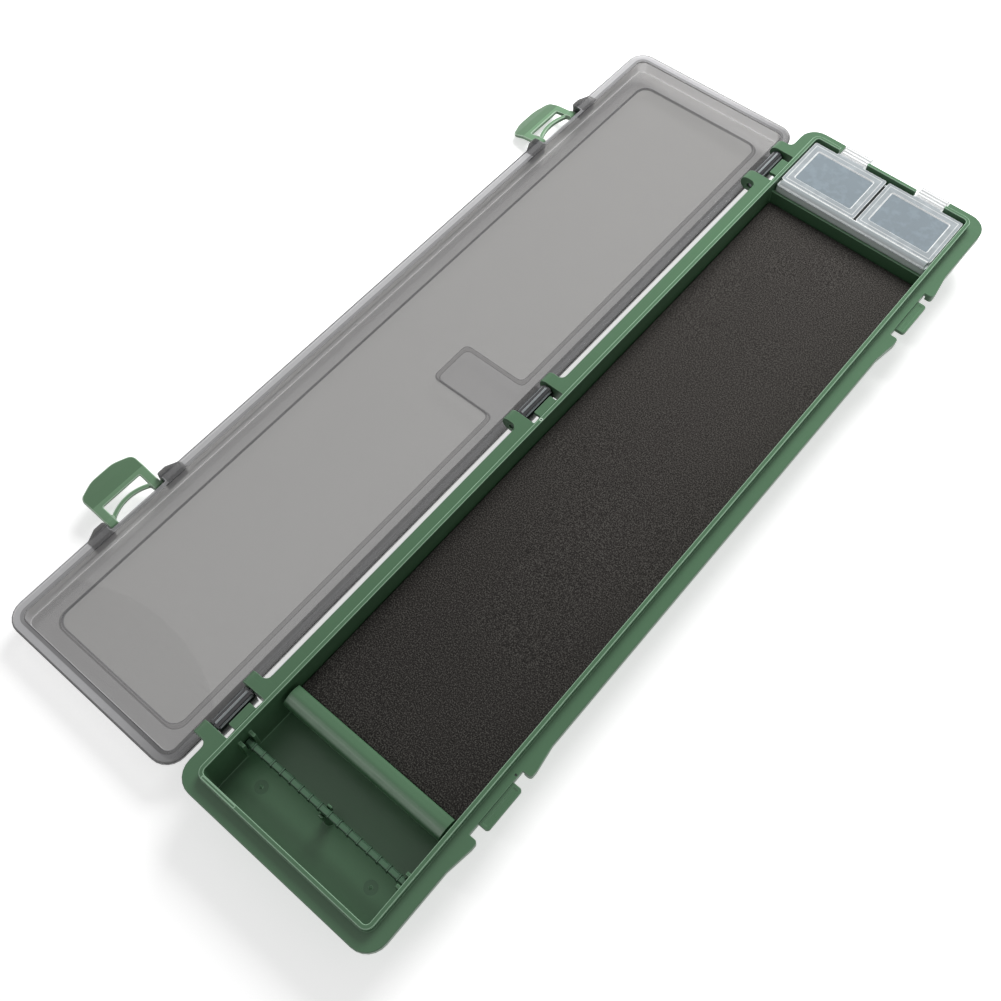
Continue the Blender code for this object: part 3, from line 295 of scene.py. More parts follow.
class RigBoxFinish(bpy.types.PropertyGroup):
    """How see-through and how rough the plastics are"""

    smoke_haze: share("Lid haze", "How much of the lid's face hides what is behind", 0.25)
    shelf_haze: share("Shelf haze", "The same on the shelf round the lid's raised panel", 0.25)
    wall_haze: share("Wall haze", "The same on the lid's walls", 0.25)
    frost_haze: share("Flange haze", "The same on the lid's frosted flange", 0.6)
    step_haze: share("Step haze", "The same on the step round the lid's raised panel", 0.5)
    inner_haze: share("Inner wall haze", "The same on the inner faces of the lid's walls", 0.3)
    line_haze: share("Lid line", "The same along the lid's edges", 0.85)
    lug_haze: share("Lug haze", "The same on the lid's latch lugs", 0.7)
    barrel_haze: share("Barrel haze", "The same on the lid's barrels", 0.95)
    milk_haze: share("Bit box haze", "The same on the milky bit box", 0.7)
    clear_haze: share("Bit lid haze", "The same on the bit box's lids", 0.6)
    panel_haze: share("Bit lid panel haze", "The same inside the bit lids' border", 0.62)
    white_haze: share("Bit lid line", "The same along the bit lids' edges", 0.9)
    green_rough: share("Green roughness", "Roughness of the green mouldings", 0.36)


class RigBoxStudio(bpy.types.PropertyGroup):
    """Light and floor"""

    key: FloatProperty(name="Key light", description="Power of the softbox", default=4.6, unit="POWER")
    shine: FloatProperty(
        name="Shine", description="Power of the strip that only shines", default=1.1, unit="POWER"
    )
    dome: FloatProperty(name="Dome", description="Strength of the even light all round", default=0.28)
    lift: FloatProperty(name="Paper glow", description="How much the floor is lifted to white", default=0.6)


# Materials


def node(tree, kind, sockets=None, **settings):
    """Adds a shader node, sets its fields, and links or sets its sockets."""
    made = tree.nodes.new("ShaderNode" + kind)
    for name, value in settings.items():
        setattr(made, name, value)
    for name, value in (sockets or {}).items():
        if isinstance(value, bpy.types.NodeSocket):
            tree.links.new(value, made.inputs[name])
        else:
            made.inputs[name].default_value = value
    return made


def blank(name):
    material = bpy.data.materials.new(name)
    material.use_nodes = True
    tree = material.node_tree
    tree.nodes.clear()
    return material, tree, node(tree, "OutputMaterial")


def shade(tone, part):
    """RGBA of a colour made lighter or darker."""
    return (*(min(1.0, value * part) for value in tone), 1.0)


def between(tree, low, high, part):
    """Colour between two colours by a share from a socket."""
    ramp = node(tree, "ValToRGB", {"Fac": part})
    ramp.color_ramp.elements[0].color = low
    ramp.color_ramp.elements[1].color = high
    return ramp.outputs["Color"]


def step(tree, value, low, high):
    """0 below low and 1 above high."""
    return node(tree, "MapRange", {"Value": value, "From Min": low, "From Max": high}).outputs["Result"]


def spread(tree, value, low, high):
    """Value from 0 to 1 moved to low to high."""
    return node(tree, "MapRange", {"Value": value, "To Min": low, "To Max": high}).outputs["Result"]


def math_of(tree, operation, first, second):
    return node(tree, "Math", {0: first, 1: second}, operation=operation).outputs["Value"]


def times(tree, first, second):
    return math_of(tree, "MULTIPLY", first, second)


def vector_of(tree, operation, *vectors):
    """Vector that a sum on vectors gives, or its number where it measures a distance."""
    made = node(tree, "VectorMath", dict(enumerate(vectors)), operation=operation)
    return made.outputs["Value" if operation in ("LENGTH", "DISTANCE") else "Vector"]


def surface_of(tree, out, sockets):
    """Ends a material in one plain surface shader."""
    shader = node(tree, "BsdfPrincipled", sockets)
    tree.links.new(shader.outputs["BSDF"], out.inputs["Surface"])


def scaled(tree, tone, part):
    """Colour times a number, both from sockets."""
    return node(tree, "VectorMath", {0: tone, "Scale": part}, operation="SCALE").outputs["Vector"]


def grain(tree, place, scale, detail=2.0):
    return node(tree, "TexNoise", {"Vector": place, "Scale": scale, "Detail": detail}).outputs["Fac"]


def scratches(tree, place, turn, sizes):
    """Thin streaks along one direction, as handling leaves them on plastic."""
    along = node(tree, "Mapping", {"Vector": place, "Rotation": (0, 0, turn), "Scale": sizes})
    streak = node(tree, "TexNoise", {"Vector": along.outputs["Vector"], "Scale": 1.0, "Detail": 3.0})
    return step(tree, streak.outputs["Fac"], 0.66, 0.74)


def painted(tree):
    """The tone that each face was given, and its share."""
    paint = node(tree, "Attribute", attribute_name="finish", attribute_type="GEOMETRY").outputs
    return paint["Color"], paint["Alpha"]


def moulded_plastic(name, rough):
    """Satin moulded plastic: painted tones with soft flow marks, a fine blasted grain and a few
    handling scratches."""
    material, tree, out = blank(name)
    place = node(tree, "TexCoord").outputs["Object"]
    tone, _ = painted(tree)
    flow = grain(tree, place, 26.0, 3.0)
    scuff = scratches(tree, place, 0.6, (40, 1500, 300))
    tint = math_of(tree, "ADD", spread(tree, flow, 0.88, 1.12), times(tree, scuff, 0.1))
    sand = grain(tree, place, 2600.0, 1.0)
    even = spread(tree, flow, rough - 0.05, rough + 0.06)
    roughness = math_of(tree, "ADD", even, times(tree, scuff, 0.12))
    sink = node(tree, "Bump", {"Height": grain(tree, place, 150.0, 2.0), "Strength": 0.12, "Distance": MM})
    bump = node(
        tree,
        "Bump",
        {"Height": sand, "Strength": 0.1, "Distance": 0.1 * MM, "Normal": sink.outputs["Normal"]},
    )
    surface_of(
        tree,
        out,
        {
            "Base Color": scaled(tree, tone, tint),
            "Roughness": roughness,
            "Normal": bump.outputs["Normal"],
            "Specular IOR Level": 0.5,
        },
    )
    return material


def past_hollow(tree, place):
    """Distance outwards from the rounded outline of the lid's hollow."""
    core = LID_HOLLOW - Vector((LID_HOLLOW_CORNER, LID_HOLLOW_CORNER, 0))
    far = vector_of(tree, "ABSOLUTE", vector_of(tree, "SUBTRACT", place, LID_MIDDLE))
    past = vector_of(tree, "MAXIMUM", vector_of(tree, "SUBTRACT", far, core), (0, 0, 0))
    return math_of(tree, "SUBTRACT", vector_of(tree, "LENGTH", past), LID_HOLLOW_CORNER)


def near_any(tree, value, places, reach):
    """1 where a value lies within reach of one of the places."""
    found = 0.0
    for place in places:
        away = math_of(tree, "ABSOLUTE", math_of(tree, "SUBTRACT", value, place), 0.0)
        close = step(tree, away, reach + THICK_FADE, reach - THICK_FADE)
        found = math_of(tree, "MAXIMUM", found, close)
    return found


def flange_shades(hinges, catches, frost):
    """How dark the lid's flange is: painted shade lines over the wall and along its edge, a painted
    shadow towards the hinges, and darker where the barrels and lugs thicken it. Only faces with the
    frosted haze take it."""
    lugs = [catch + side * (CATCH_HALF + LUG_REACH / 2) for catch in catches for side in (-1, 1)]

    def tint(tree, place, solid):
        sides = node(tree, "SeparateXYZ", {"Vector": place}).outputs
        past = past_hollow(tree, place)
        # painted shade lines over the wall and along the flange's edge
        over_wall = times(tree, step(tree, past, *WALL_LINE), WALL_SHARE)
        by_edge = step(tree, past, *EDGE_LINE)
        lines = spread(tree, math_of(tree, "MAXIMUM", over_wall, by_edge), 1.0, LINE_LEFT)
        # painted shadow: the flange darkens towards the hinges
        to_hinges = step(tree, sides["X"], *SHADOW_ACROSS)
        shadow = spread(tree, math_of(tree, "POWER", to_hinges, SHADOW_BEND), 1.0, SHADOW_LEFT)
        by_hinge = near_any(tree, sides["Y"], hinges, BARREL_HALF)
        barrel = times(tree, by_hinge, step(tree, sides["X"], *BARRELS_ACROSS))
        by_lug = near_any(tree, sides["Y"], lugs, LUG_REACH / 2)
        lug = times(tree, by_lug, step(tree, sides["X"], *LUGS_ACROSS))
        thick = spread(tree, math_of(tree, "MAXIMUM", barrel, lug), 1.0, THICK_LEFT)
        lit = times(tree, times(tree, lines, shadow), thick)
        frosted = node(tree, "Math", {0: solid, 1: frost, 2: SAME_HAZE}, operation="COMPARE")
        return spread(tree, frosted.outputs["Value"], 1.0, lit)

    return tint


def flow_mark(tree, place):
    """Haze inside the wide arc that the plastic's flow left at the lid's near end."""
    away = vector_of(tree, "DISTANCE", place, FLOW_MARK)
    return times(tree, step(tree, away, FLOW_RADIUS, FLOW_RADIUS - FLOW_EDGE), FLOW_HAZE)


def mottle(tree, place):
    """Faint cloudy spots, as thin clear mouldings have."""
    cloud = grain(tree, place, MOTTLE_SCALE, 3.0)
    return times(tree, step(tree, cloud, *MOTTLE_FROM), MOTTLE_HAZE)


def see_through_plastic(name, rough, dark, density, marks=(), tints=()):
    """Clear plastic: what is behind shows through, darker where the wall is thick. Each face has its
    own painted haze, and a mirror shine that grows towards grazing. Marks add their own haze, and
    tints darken the painted tone."""
    material, tree, out = blank(name)
    place = node(tree, "TexCoord").outputs["Object"]
    tone, solid = painted(tree)
    for tint in tints:
        tone = scaled(tree, tone, tint(tree, place, solid))
    cloud = grain(tree, place, 22.0)
    clear = node(tree, "BsdfTransparent", {"Color": (1, 1, 1, 1)})
    milky = node(
        tree,
        "BsdfPrincipled",
        {
            "Base Color": scaled(tree, tone, spread(tree, cloud, 0.94, 1.06)),
            "Roughness": rough + 0.25,
            "Specular IOR Level": 0.2,
        },
    )
    scuff = times(tree, scratches(tree, place, 0.9, (60, 1100, 300)), 0.025)
    haze = math_of(tree, "ADD", times(tree, solid, spread(tree, cloud, 0.92, 1.08)), scuff)
    for mark in marks:
        haze = math_of(tree, "ADD", haze, mark(tree, place))
    body = node(tree, "MixShader", {0: haze, 1: clear.outputs["BSDF"], 2: milky.outputs["BSDF"]})
    facing = node(tree, "LayerWeight", {"Blend": 0.5}).outputs["Facing"]
    mirror = spread(tree, math_of(tree, "POWER", facing, 5.0), MIRROR_STRAIGHT, MIRROR_GRAZING)
    gloss = node(
        tree, "BsdfGlossy", {"Color": (1, 1, 1, 1), "Roughness": spread(tree, cloud, rough, rough + 0.05)}
    )
    surface = node(tree, "MixShader", {0: mirror, 1: body.outputs["Shader"], 2: gloss.outputs["BSDF"]})
    tree.links.new(surface.outputs["Shader"], out.inputs["Surface"])
    absorb = node(tree, "VolumeAbsorption", {"Color": (*dark, 1.0), "Density": density})
    tree.links.new(absorb.outputs["Volume"], out.inputs["Volume"])
    return material


def foam_material(name, tone, fleck):
    """Closed-cell foam: small dark pits, paler cut cells, soft large-scale changes of tone and painted shade
    towards the board's near end.
    """
    material, tree, out = blank(name)
    place = node(tree, "TexCoord").outputs["Object"]
    broad = grain(tree, place, 14.0)
    fine = grain(tree, place, 2300.0, 1.0)
    coarse = grain(tree, place, 900.0, 1.0)
    ground = between(tree, shade(tone, 0.92), shade(tone, 1.08), broad)
    along = node(tree, "SeparateXYZ", {"Vector": place}).outputs["Y"]
    # painted shade: darker towards the board's near end
    ground = scaled(tree, ground, spread(tree, step(tree, along, *FOAM_PAINTED_SHADE), 0.52, 1.0))
    pits = spread(tree, step(tree, fine, 0.36, 0.5), 0.42, 1.0)
    dulled = scaled(tree, ground, times(tree, pits, spread(tree, coarse, 0.86, 1.14)))
    specks = node(tree, "Mix", data_type="RGBA")
    tree.links.new(times(tree, step(tree, fine, 0.52, 0.66), 0.7), specks.inputs[0])
    tree.links.new(dulled, specks.inputs[6])
    specks.inputs[7].default_value = shade(fleck, 1.0)
    bump = node(tree, "Bump", {"Height": fine, "Strength": 0.6, "Distance": 0.2 * MM})
    surface_of(
        tree,
        out,
        {
            "Base Color": specks.outputs[2],
            "Roughness": spread(tree, fine, 0.85, 1.0),
            "Normal": bump.outputs["Normal"],
            "Specular IOR Level": 0.2,
        },
    )
    return material


def turned_steel(name, tone):
    """Drawn steel wire with fine rings round it."""
    material, tree, out = blank(name)
    place = node(tree, "TexCoord").outputs["Object"]
    rings = node(tree, "TexWave", {"Vector": place, "Scale": 900.0, "Distortion": 3.0}, bands_direction="Y")
    surface_of(
        tree,
        out,
        {
            "Base Color": between(tree, shade(tone, 0.8), shade(tone, 1.1), rings.outputs["Fac"]),
            "Metallic": 1.0,
            "Roughness": spread(tree, rings.outputs["Fac"], 0.22, 0.38),
        },
    )
    return material


# Pieces


def welded(name):
    """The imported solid's own shape with its triangles joined up again into flat faces."""
    form = bmesh.new()
    form.from_mesh(frame["nodes"][name].data)
    bmesh.ops.remove_doubles(form, verts=form.verts, dist=0.01 * MM)
    bmesh.ops.dissolve_limit(form, angle_limit=SAME_FACE, verts=form.verts[:], edges=form.edges[:])
    form.faces.layers.float_color.new("finish")
    return form


def paint(form, faces, tone, solid=1.0):
    """Gives faces a tone, and the share of it that hides what is behind."""
    layer = form.faces.layers.float_color["finish"]
    for face in faces:
        face[layer] = (*tone, solid)


def softened(form, width, rejoin=True):
    """Rounds every sharp edge and returns the new faces. Many-sided faces are split for this, and
    joined up again after it unless the piece has a window that they could span. Corners that stray
    where roundings meet at odd angles are pulled back onto the solid."""
    many_sided = [face for face in form.faces if len(face.verts) > 4]
    bmesh.ops.triangulate(form, faces=many_sided, quad_method="BEAUTY", ngon_method="BEAUTY")
    sharp = [edge for edge in form.edges if edge.is_manifold and edge.calc_face_angle() > SHARP]
    solid = BVHTree.FromBMesh(form)
    made = bmesh.ops.bevel(
        form,
        geom=sharp,
        offset=width,
        segments=2,
        affect="EDGES",
        profile=0.5,
        material=-1,
        clamp_overlap=False,
        miter_outer="ARC",
    )
    for vert in form.verts:
        spot, _, _, away = solid.find_nearest(vert.co)
        if away > STRAY * width:
            vert.co = spot
    rounded = set(made["faces"])
    if rejoin:
        flat = [edge for edge in form.edges if not rounded.intersection(edge.link_faces)]
        bmesh.ops.dissolve_limit(form, angle_limit=SAME_FLAT, verts=[], edges=flat)
    return rounded


def faces_of(verts):
    return list({face for vert in verts for face in vert.link_faces})


def disc(form, place, radius, rise, tone):
    """Thin round mark that stands up from a face by its rise."""
    made = bmesh.ops.create_cone(
        form, cap_ends=True, segments=24, radius1=radius, radius2=radius * 0.9, depth=2 * rise
    )
    bmesh.ops.translate(form, vec=place, verts=made["verts"])
    paint(form, faces_of(made["verts"]), tone)


def block(form, low, high):
    """Box between two corners, whose faces it returns."""
    made = bmesh.ops.create_cube(form, size=1.0)
    bmesh.ops.scale(form, vec=high - low, verts=made["verts"])
    bmesh.ops.translate(form, vec=(high + low) / 2, verts=made["verts"])
    faces = faces_of(made["verts"])
    for face in faces:
        face.normal_update()
    return faces


def outline(form, low, high, wide):
    """Thin frame along the sides of a rectangle, whose faces it returns."""
    before = set(form.faces)
    verts = bmesh.ops.create_grid(form, x_segments=1, y_segments=1, size=0.5)["verts"]
    bmesh.ops.scale(form, vec=(high.x - low.x, high.y - low.y, 1), verts=verts)
    bmesh.ops.translate(form, vec=((high.x + low.x) / 2, (high.y + low.y) / 2, low.z), verts=verts)
    sheet = faces_of(verts)
    inset = bmesh.ops.inset_region(
        form, faces=sheet, thickness=wide, use_boundary=True, use_even_offset=True
    )
    bmesh.ops.delete(form, geom=sheet, context="FACES")
    raised = bmesh.ops.extrude_face_region(form, geom=inset["faces"])["geom"]
    top = [part for part in raised if isinstance(part, bmesh.types.BMVert)]
    bmesh.ops.translate(form, vec=(0, 0, high.z - low.z), verts=top)
    faces = [face for face in form.faces if face not in before]
    bmesh.ops.recalc_face_normals(form, faces=faces)
    return faces


def middle_y(name):
    low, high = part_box(name)
    return (low.y + high.y) / 2


def object_from(form, name, material):
    """Puts a form into the scene as an object of one material."""
    mesh = bpy.data.meshes.new(name)
    form.to_mesh(mesh)
    form.free()
    made = bpy.data.objects.new(name, mesh)
    bpy.context.scene.collection.objects.link(made)
    mesh.materials.append(material)
    return made


def piece_from(form, name, material, body):
    """A finished piece that rides on a body."""
    bmesh.ops.dissolve_degenerate(form, dist=0.001 * MM, edges=form.edges[:])
    piece = object_from(form, name, material)
    piece.data.shade_smooth()
    even = piece.modifiers.new("even_shading", "WEIGHTED_NORMAL")
    even.keep_sharp = False
    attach(piece, body)
    return piece


def settings():
    scene = bpy.context.scene
    return scene.rig_box_colours, scene.rig_box_sizes, scene.rig_box_finish, scene.rig_box_studio


class RIGBOX_OT_tray(bpy.types.Operator):
    """Green moulded tray with its hinge ears, catches, ledge and bar clips"""

    bl_idname = "rig_box.tray"
    bl_label = "Tray"

    def execute(self, context):
        colours, sizes, finish, _ = settings()
        form = welded("base_tray")
        self.ledge(form, sizes)
        edges = softened(form, sizes.edge)
        for face in form.faces:
            place = face.calc_center_median()
            from_post = (place.xy - POST).length
            from_dimple = min((place.xy - dimple).length for dimple in DIMPLES)
            dished = place.z < BAY_FLOOR - LEVEL and from_dimple < DIMPLE_REACH
            rounded = 0.1 < abs(face.normal.z) < 0.97 and -LEVEL < RIM_TOP - place.z < RIM_ROUNDING
            # painted highlight: rounded edges are painted pale, palest along the rim
            if face in edges or rounded:
                tone = colours.rim_highlight if place.z > RIM_TOP - 2 * sizes.edge else colours.tray_edge_highlight
            elif dished and face.normal.z > 0.95 or from_post < POST_REACH and place.z > BAY_FLOOR:
                tone = colours.tray_shade
            else:
                tone = colours.tray
            paint(form, [face], tone)
        self.marks(form, colours, sizes)
        green = moulded_plastic("green_moulding", finish.green_rough)
        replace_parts(piece_from(form, "tray_moulding", green, "base"), "base_tray")
        return {"FINISHED"}

    def ledge(self, form, sizes):
        """Gives the ledge's two long flat slopes a slight belly, so that light rolls over them."""
        slopes = [
            face
            for face in form.faces
            if LEDGE_START.y < face.calc_center_median().y < LEDGE_END.y
            and face.calc_center_median().z > LEDGE_START.z
            and 0.5 < face.normal.z < 0.99
            and abs(face.normal.x) < 0.01
            and face.calc_area() > LEDGE_SLOPE_AREA
        ]
        for face in slopes:
            normal = face.normal.copy()
            across = normal.cross(Vector((1, 0, 0))).normalized()
            spots = [across.dot(vert.co) for vert in face.verts]
            low, high = min(spots), max(spots)
            parts = {face}
            for cut in range(1, LEDGE_CUTS):
                at = low + (high - low) * cut / LEDGE_CUTS
                geometry = {edge for part in parts for edge in part.edges}
                verts = {vert for part in parts for vert in part.verts}
                made = bmesh.ops.bisect_plane(
                    form, geom=[*verts, *geometry, *parts], dist=1e-7, plane_co=across * at, plane_no=across
                )
                parts = {part for part in made["geom"] if isinstance(part, bmesh.types.BMFace)}
                for vert in made["geom_cut"]:
                    if isinstance(vert, bmesh.types.BMVert):
                        along = cut / LEDGE_CUTS
                        vert.co += normal * sizes.ledge_belly * 4 * along * (1 - along)

    def marks(self, form, colours, sizes):
        """The round gate mark by the middle hinge, a small pit on the flange and the outline that an
        insert left on the near rim."""
        disc(form, GATE_MARK, sizes.gate_radius, sizes.mark_rise, colours.gate)
        # painted shade: the pits are dark discs, standing in for the shade inside them
        disc(form, GATE_MARK, sizes.pit_radius, sizes.mark_rise * 1.3, colours.mark)
        disc(form, EJECTOR_MARK, sizes.pit_radius * 1.3, sizes.mark_rise, colours.mark)
        insert = outline(form, INSERT_LOW, INSERT_HIGH + Vector((0, 0, sizes.mark_rise)), sizes.line_width)
        # the insert's outline takes the rim's painted highlight tone
        paint(form, insert, colours.rim_highlight)


class RIGBOX_OT_hinge_pins(bpy.types.Operator):
    """Steel pins through the hinge ears"""

    bl_idname = "rig_box.hinge_pins"
    bl_label = "Hinge pins"

    def execute(self, context):
        colours, _, _, _ = settings()
        steel = turned_steel("hinge_pin_steel", colours.steel)
        for where in ("near", "middle", "far"):
            frame["nodes"][f"hinge_pin_{where}"].material_slots[0].material = steel
        return {"FINISHED"}


class RIGBOX_OT_lid(bpy.types.Operator):
    """Smoky see-through lid with its barrels and latch lugs"""

    bl_idname = "rig_box.lid"
    bl_label = "Lid"

    def execute(self, context):
        colours, sizes, finish, _ = settings()
        form = welded("lid")
        lines = softened(form, sizes.lid_edge)
        shut = Matrix.Rotation(LID_TURN, 3, "Y")
        hinges = [middle_y(f"hinge_pin_{where}") for where in ("near", "middle", "far")]
        catches = [middle_y(f"latch_{where}") for where in ("near", "far")]
        for face in form.faces:
            from_line = face.calc_center_median() - HINGE_LINE
            level = HINGE_LINE + shut @ from_line
            reach = math.hypot(from_line.x, from_line.z)
            if reach < BARREL_REACH and min(abs(from_line.y - y) for y in hinges) < BARREL_HALF:
                # painted highlight: the barrels' groove faces are painted pale, drawing the ribs as light
                # lines
                groove = BARREL_BORE < reach < BARREL_RADIUS - 10 * LEVEL
                tone = colours.smoke_rib_highlight if groove else colours.smoke_deep
                paint(form, [face], tone, finish.barrel_haze)
            else:
                upright = abs((shut @ face.normal).z) < 0.5
                paint(form, [face], *self.tone(level, upright, face in lines, colours, finish))
        smoke = see_through_plastic(
            "smoky_lid",
            0.08,
            dark=(0.47, 0.46, 0.45),
            density=690.0,
            marks=(flow_mark,),
            tints=(flange_shades(hinges, catches, finish.frost_haze),),
        )
        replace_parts(piece_from(form, "lid_moulding", smoke, "lid"), "lid")
        return {"FINISHED"}

    def past_hollow(self, level):
        """Distance outwards from the rounded outline of the hollow, in the shut lid."""
        across = max(abs(level.x) - LID_HOLLOW.x + LID_HOLLOW_CORNER, 0.0)
        along = max(abs(level.y) - LID_HOLLOW.y + LID_HOLLOW_CORNER, 0.0)
        return math.hypot(across, along) - LID_HOLLOW_CORNER

    def tone(self, level, upright, line, colours, finish):
        """Tone and haze of a face from its middle's place in the shut lid."""
        past = self.past_hollow(level)
        on_flange = min(abs(level.z - LID_FLANGE_LOW), abs(level.z - LID_FLANGE_TOP)) < 10 * LEVEL
        on_shelf = min(abs(level.z - LID_SHELF_LOW), abs(level.z - LID_SHELF_TOP)) < 10 * LEVEL
        if past > LID_WALL + LEVEL and level.z > LID_FLANGE_TOP + LEVEL:
            return colours.smoke_lug, finish.lug_haze
        # painted shade on the faces and edges of the step round the raised panel
        if past < -LID_HOLLOW_CORNER / 2 and (line or upright):
            return colours.smoke_step_shade, finish.step_haze
        # inner faces of the walls get painted light, and the edge where a wall meets the flange a painted
        # shade line
        if abs(past) < LID_WALL / 3 and (line or upright):
            low_shade_line = line and level.z < LID_FLANGE_TOP
            return (colours.smoke_rim_shade if low_shade_line else colours.smoke_inner_lit), finish.inner_haze
        # painted shade along the other rounded edges
        if line:
            return colours.smoke_line_shade, finish.line_haze
        if on_flange:
            return colours.frost, finish.frost_haze
        if on_shelf:
            return colours.smoke_shelf, finish.shelf_haze
        # painted shade on the walls
        if upright:
            return colours.smoke_wall_shade, finish.wall_haze
        return colours.smoke, finish.smoke_haze


class RIGBOX_OT_latches(bpy.types.Operator):
    """Green snap latches, each with a window, a springy bow and a curled pad"""

    bl_idname = "rig_box.latches"
    bl_label = "Latches"

    def execute(self, context):
        colours, sizes, finish, _ = settings()
        green = moulded_plastic("green_latch", finish.green_rough)
        pivots = {joint["child"]: Vector(joint["pos_m"]) for joint in frame["joints"]}
        for where in ("near", "far"):
            body = f"latch_{where}"
            form = welded(body)
            edges = softened(form, sizes.latch_edge, rejoin=False)
            arms = [
                face
                for face in form.faces
                if (face.calc_center_median() - pivots[body]).xz.length < LATCH_PAD_START
            ]
            paint(form, form.faces, colours.latch)
            # painted light on the arms and painted highlight on the rounded edges
            paint(form, arms, colours.latch_arm_lit)
            paint(form, edges, colours.latch_edge)
            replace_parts(piece_from(form, f"latch_moulding_{where}", green, body), body)
        return {"FINISHED"}


class RIGBOX_OT_rig_bar(bpy.types.Operator):
    """Turning bar with its collars"""

    bl_idname = "rig_box.rig_bar"
    bl_label = "Rig bar"

    def execute(self, context):
        colours, sizes, finish, _ = settings()
        form = welded("rig_bar")
        edges = softened(form, sizes.bar_edge)
        # painted shade on the bar's rounded edges and on its collars' sides
        sides = [face for face in form.faces if abs(face.normal.x) > 0.5]
        paint(form, form.faces, colours.bar)
        paint(form, [*edges, *sides], colours.bar_edge)
        green = moulded_plastic("green_bar", finish.green_rough)
        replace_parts(piece_from(form, "bar_moulding", green, "rig_bar"), "rig_bar")
        return {"FINISHED"}


class RIGBOX_OT_foam(bpy.types.Operator):
    """Foam board that fills the long bay"""

    bl_idname = "rig_box.foam"
    bl_label = "Foam board"

    def execute(self, context):
        colours, sizes, _, _ = settings()
        low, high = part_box("foam_pad")
        form = bmesh.new()
        bmesh.ops.create_cube(form, size=1.0)
        bmesh.ops.scale(form, vec=high - low, verts=form.verts)
        bmesh.ops.translate(form, vec=(high + low) / 2, verts=form.verts)
        rim = [edge for edge in form.edges if not all(vert.co.z < low.z + 1e-6 for vert in edge.verts)]
        bmesh.ops.bevel(
            form, geom=rim, offset=sizes.foam_edge, segments=4, affect="EDGES", profile=0.5, material=-1
        )
        for axis in (0, 1):
            steps = int((high[axis] - low[axis]) / sizes.foam_step)
            for cut in range(1, steps):
                at = low[axis] + (high[axis] - low[axis]) * cut / steps
                normal = Vector((axis == 0, axis == 1, 0))
                bmesh.ops.bisect_plane(
                    form,
                    geom=form.verts[:] + form.edges[:] + form.faces[:],
                    dist=1e-6,
                    plane_co=normal * at,
                    plane_no=normal,
                )
        for vert in form.verts:
            if vert.co.z > high.z - LEVEL:
                lift = noise.noise(vert.co * FOAM_ROLL) + 0.5 * noise.noise(vert.co * FOAM_RIPPLE)
                vert.co.z += sizes.foam_wave * (lift - FOAM_SINK)
        foam = foam_material("foam", colours.foam, colours.fleck)
        piece = piece_from(form, "foam_board", foam, "base")
        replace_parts(piece, "foam_pad")
        return {"FINISHED"}


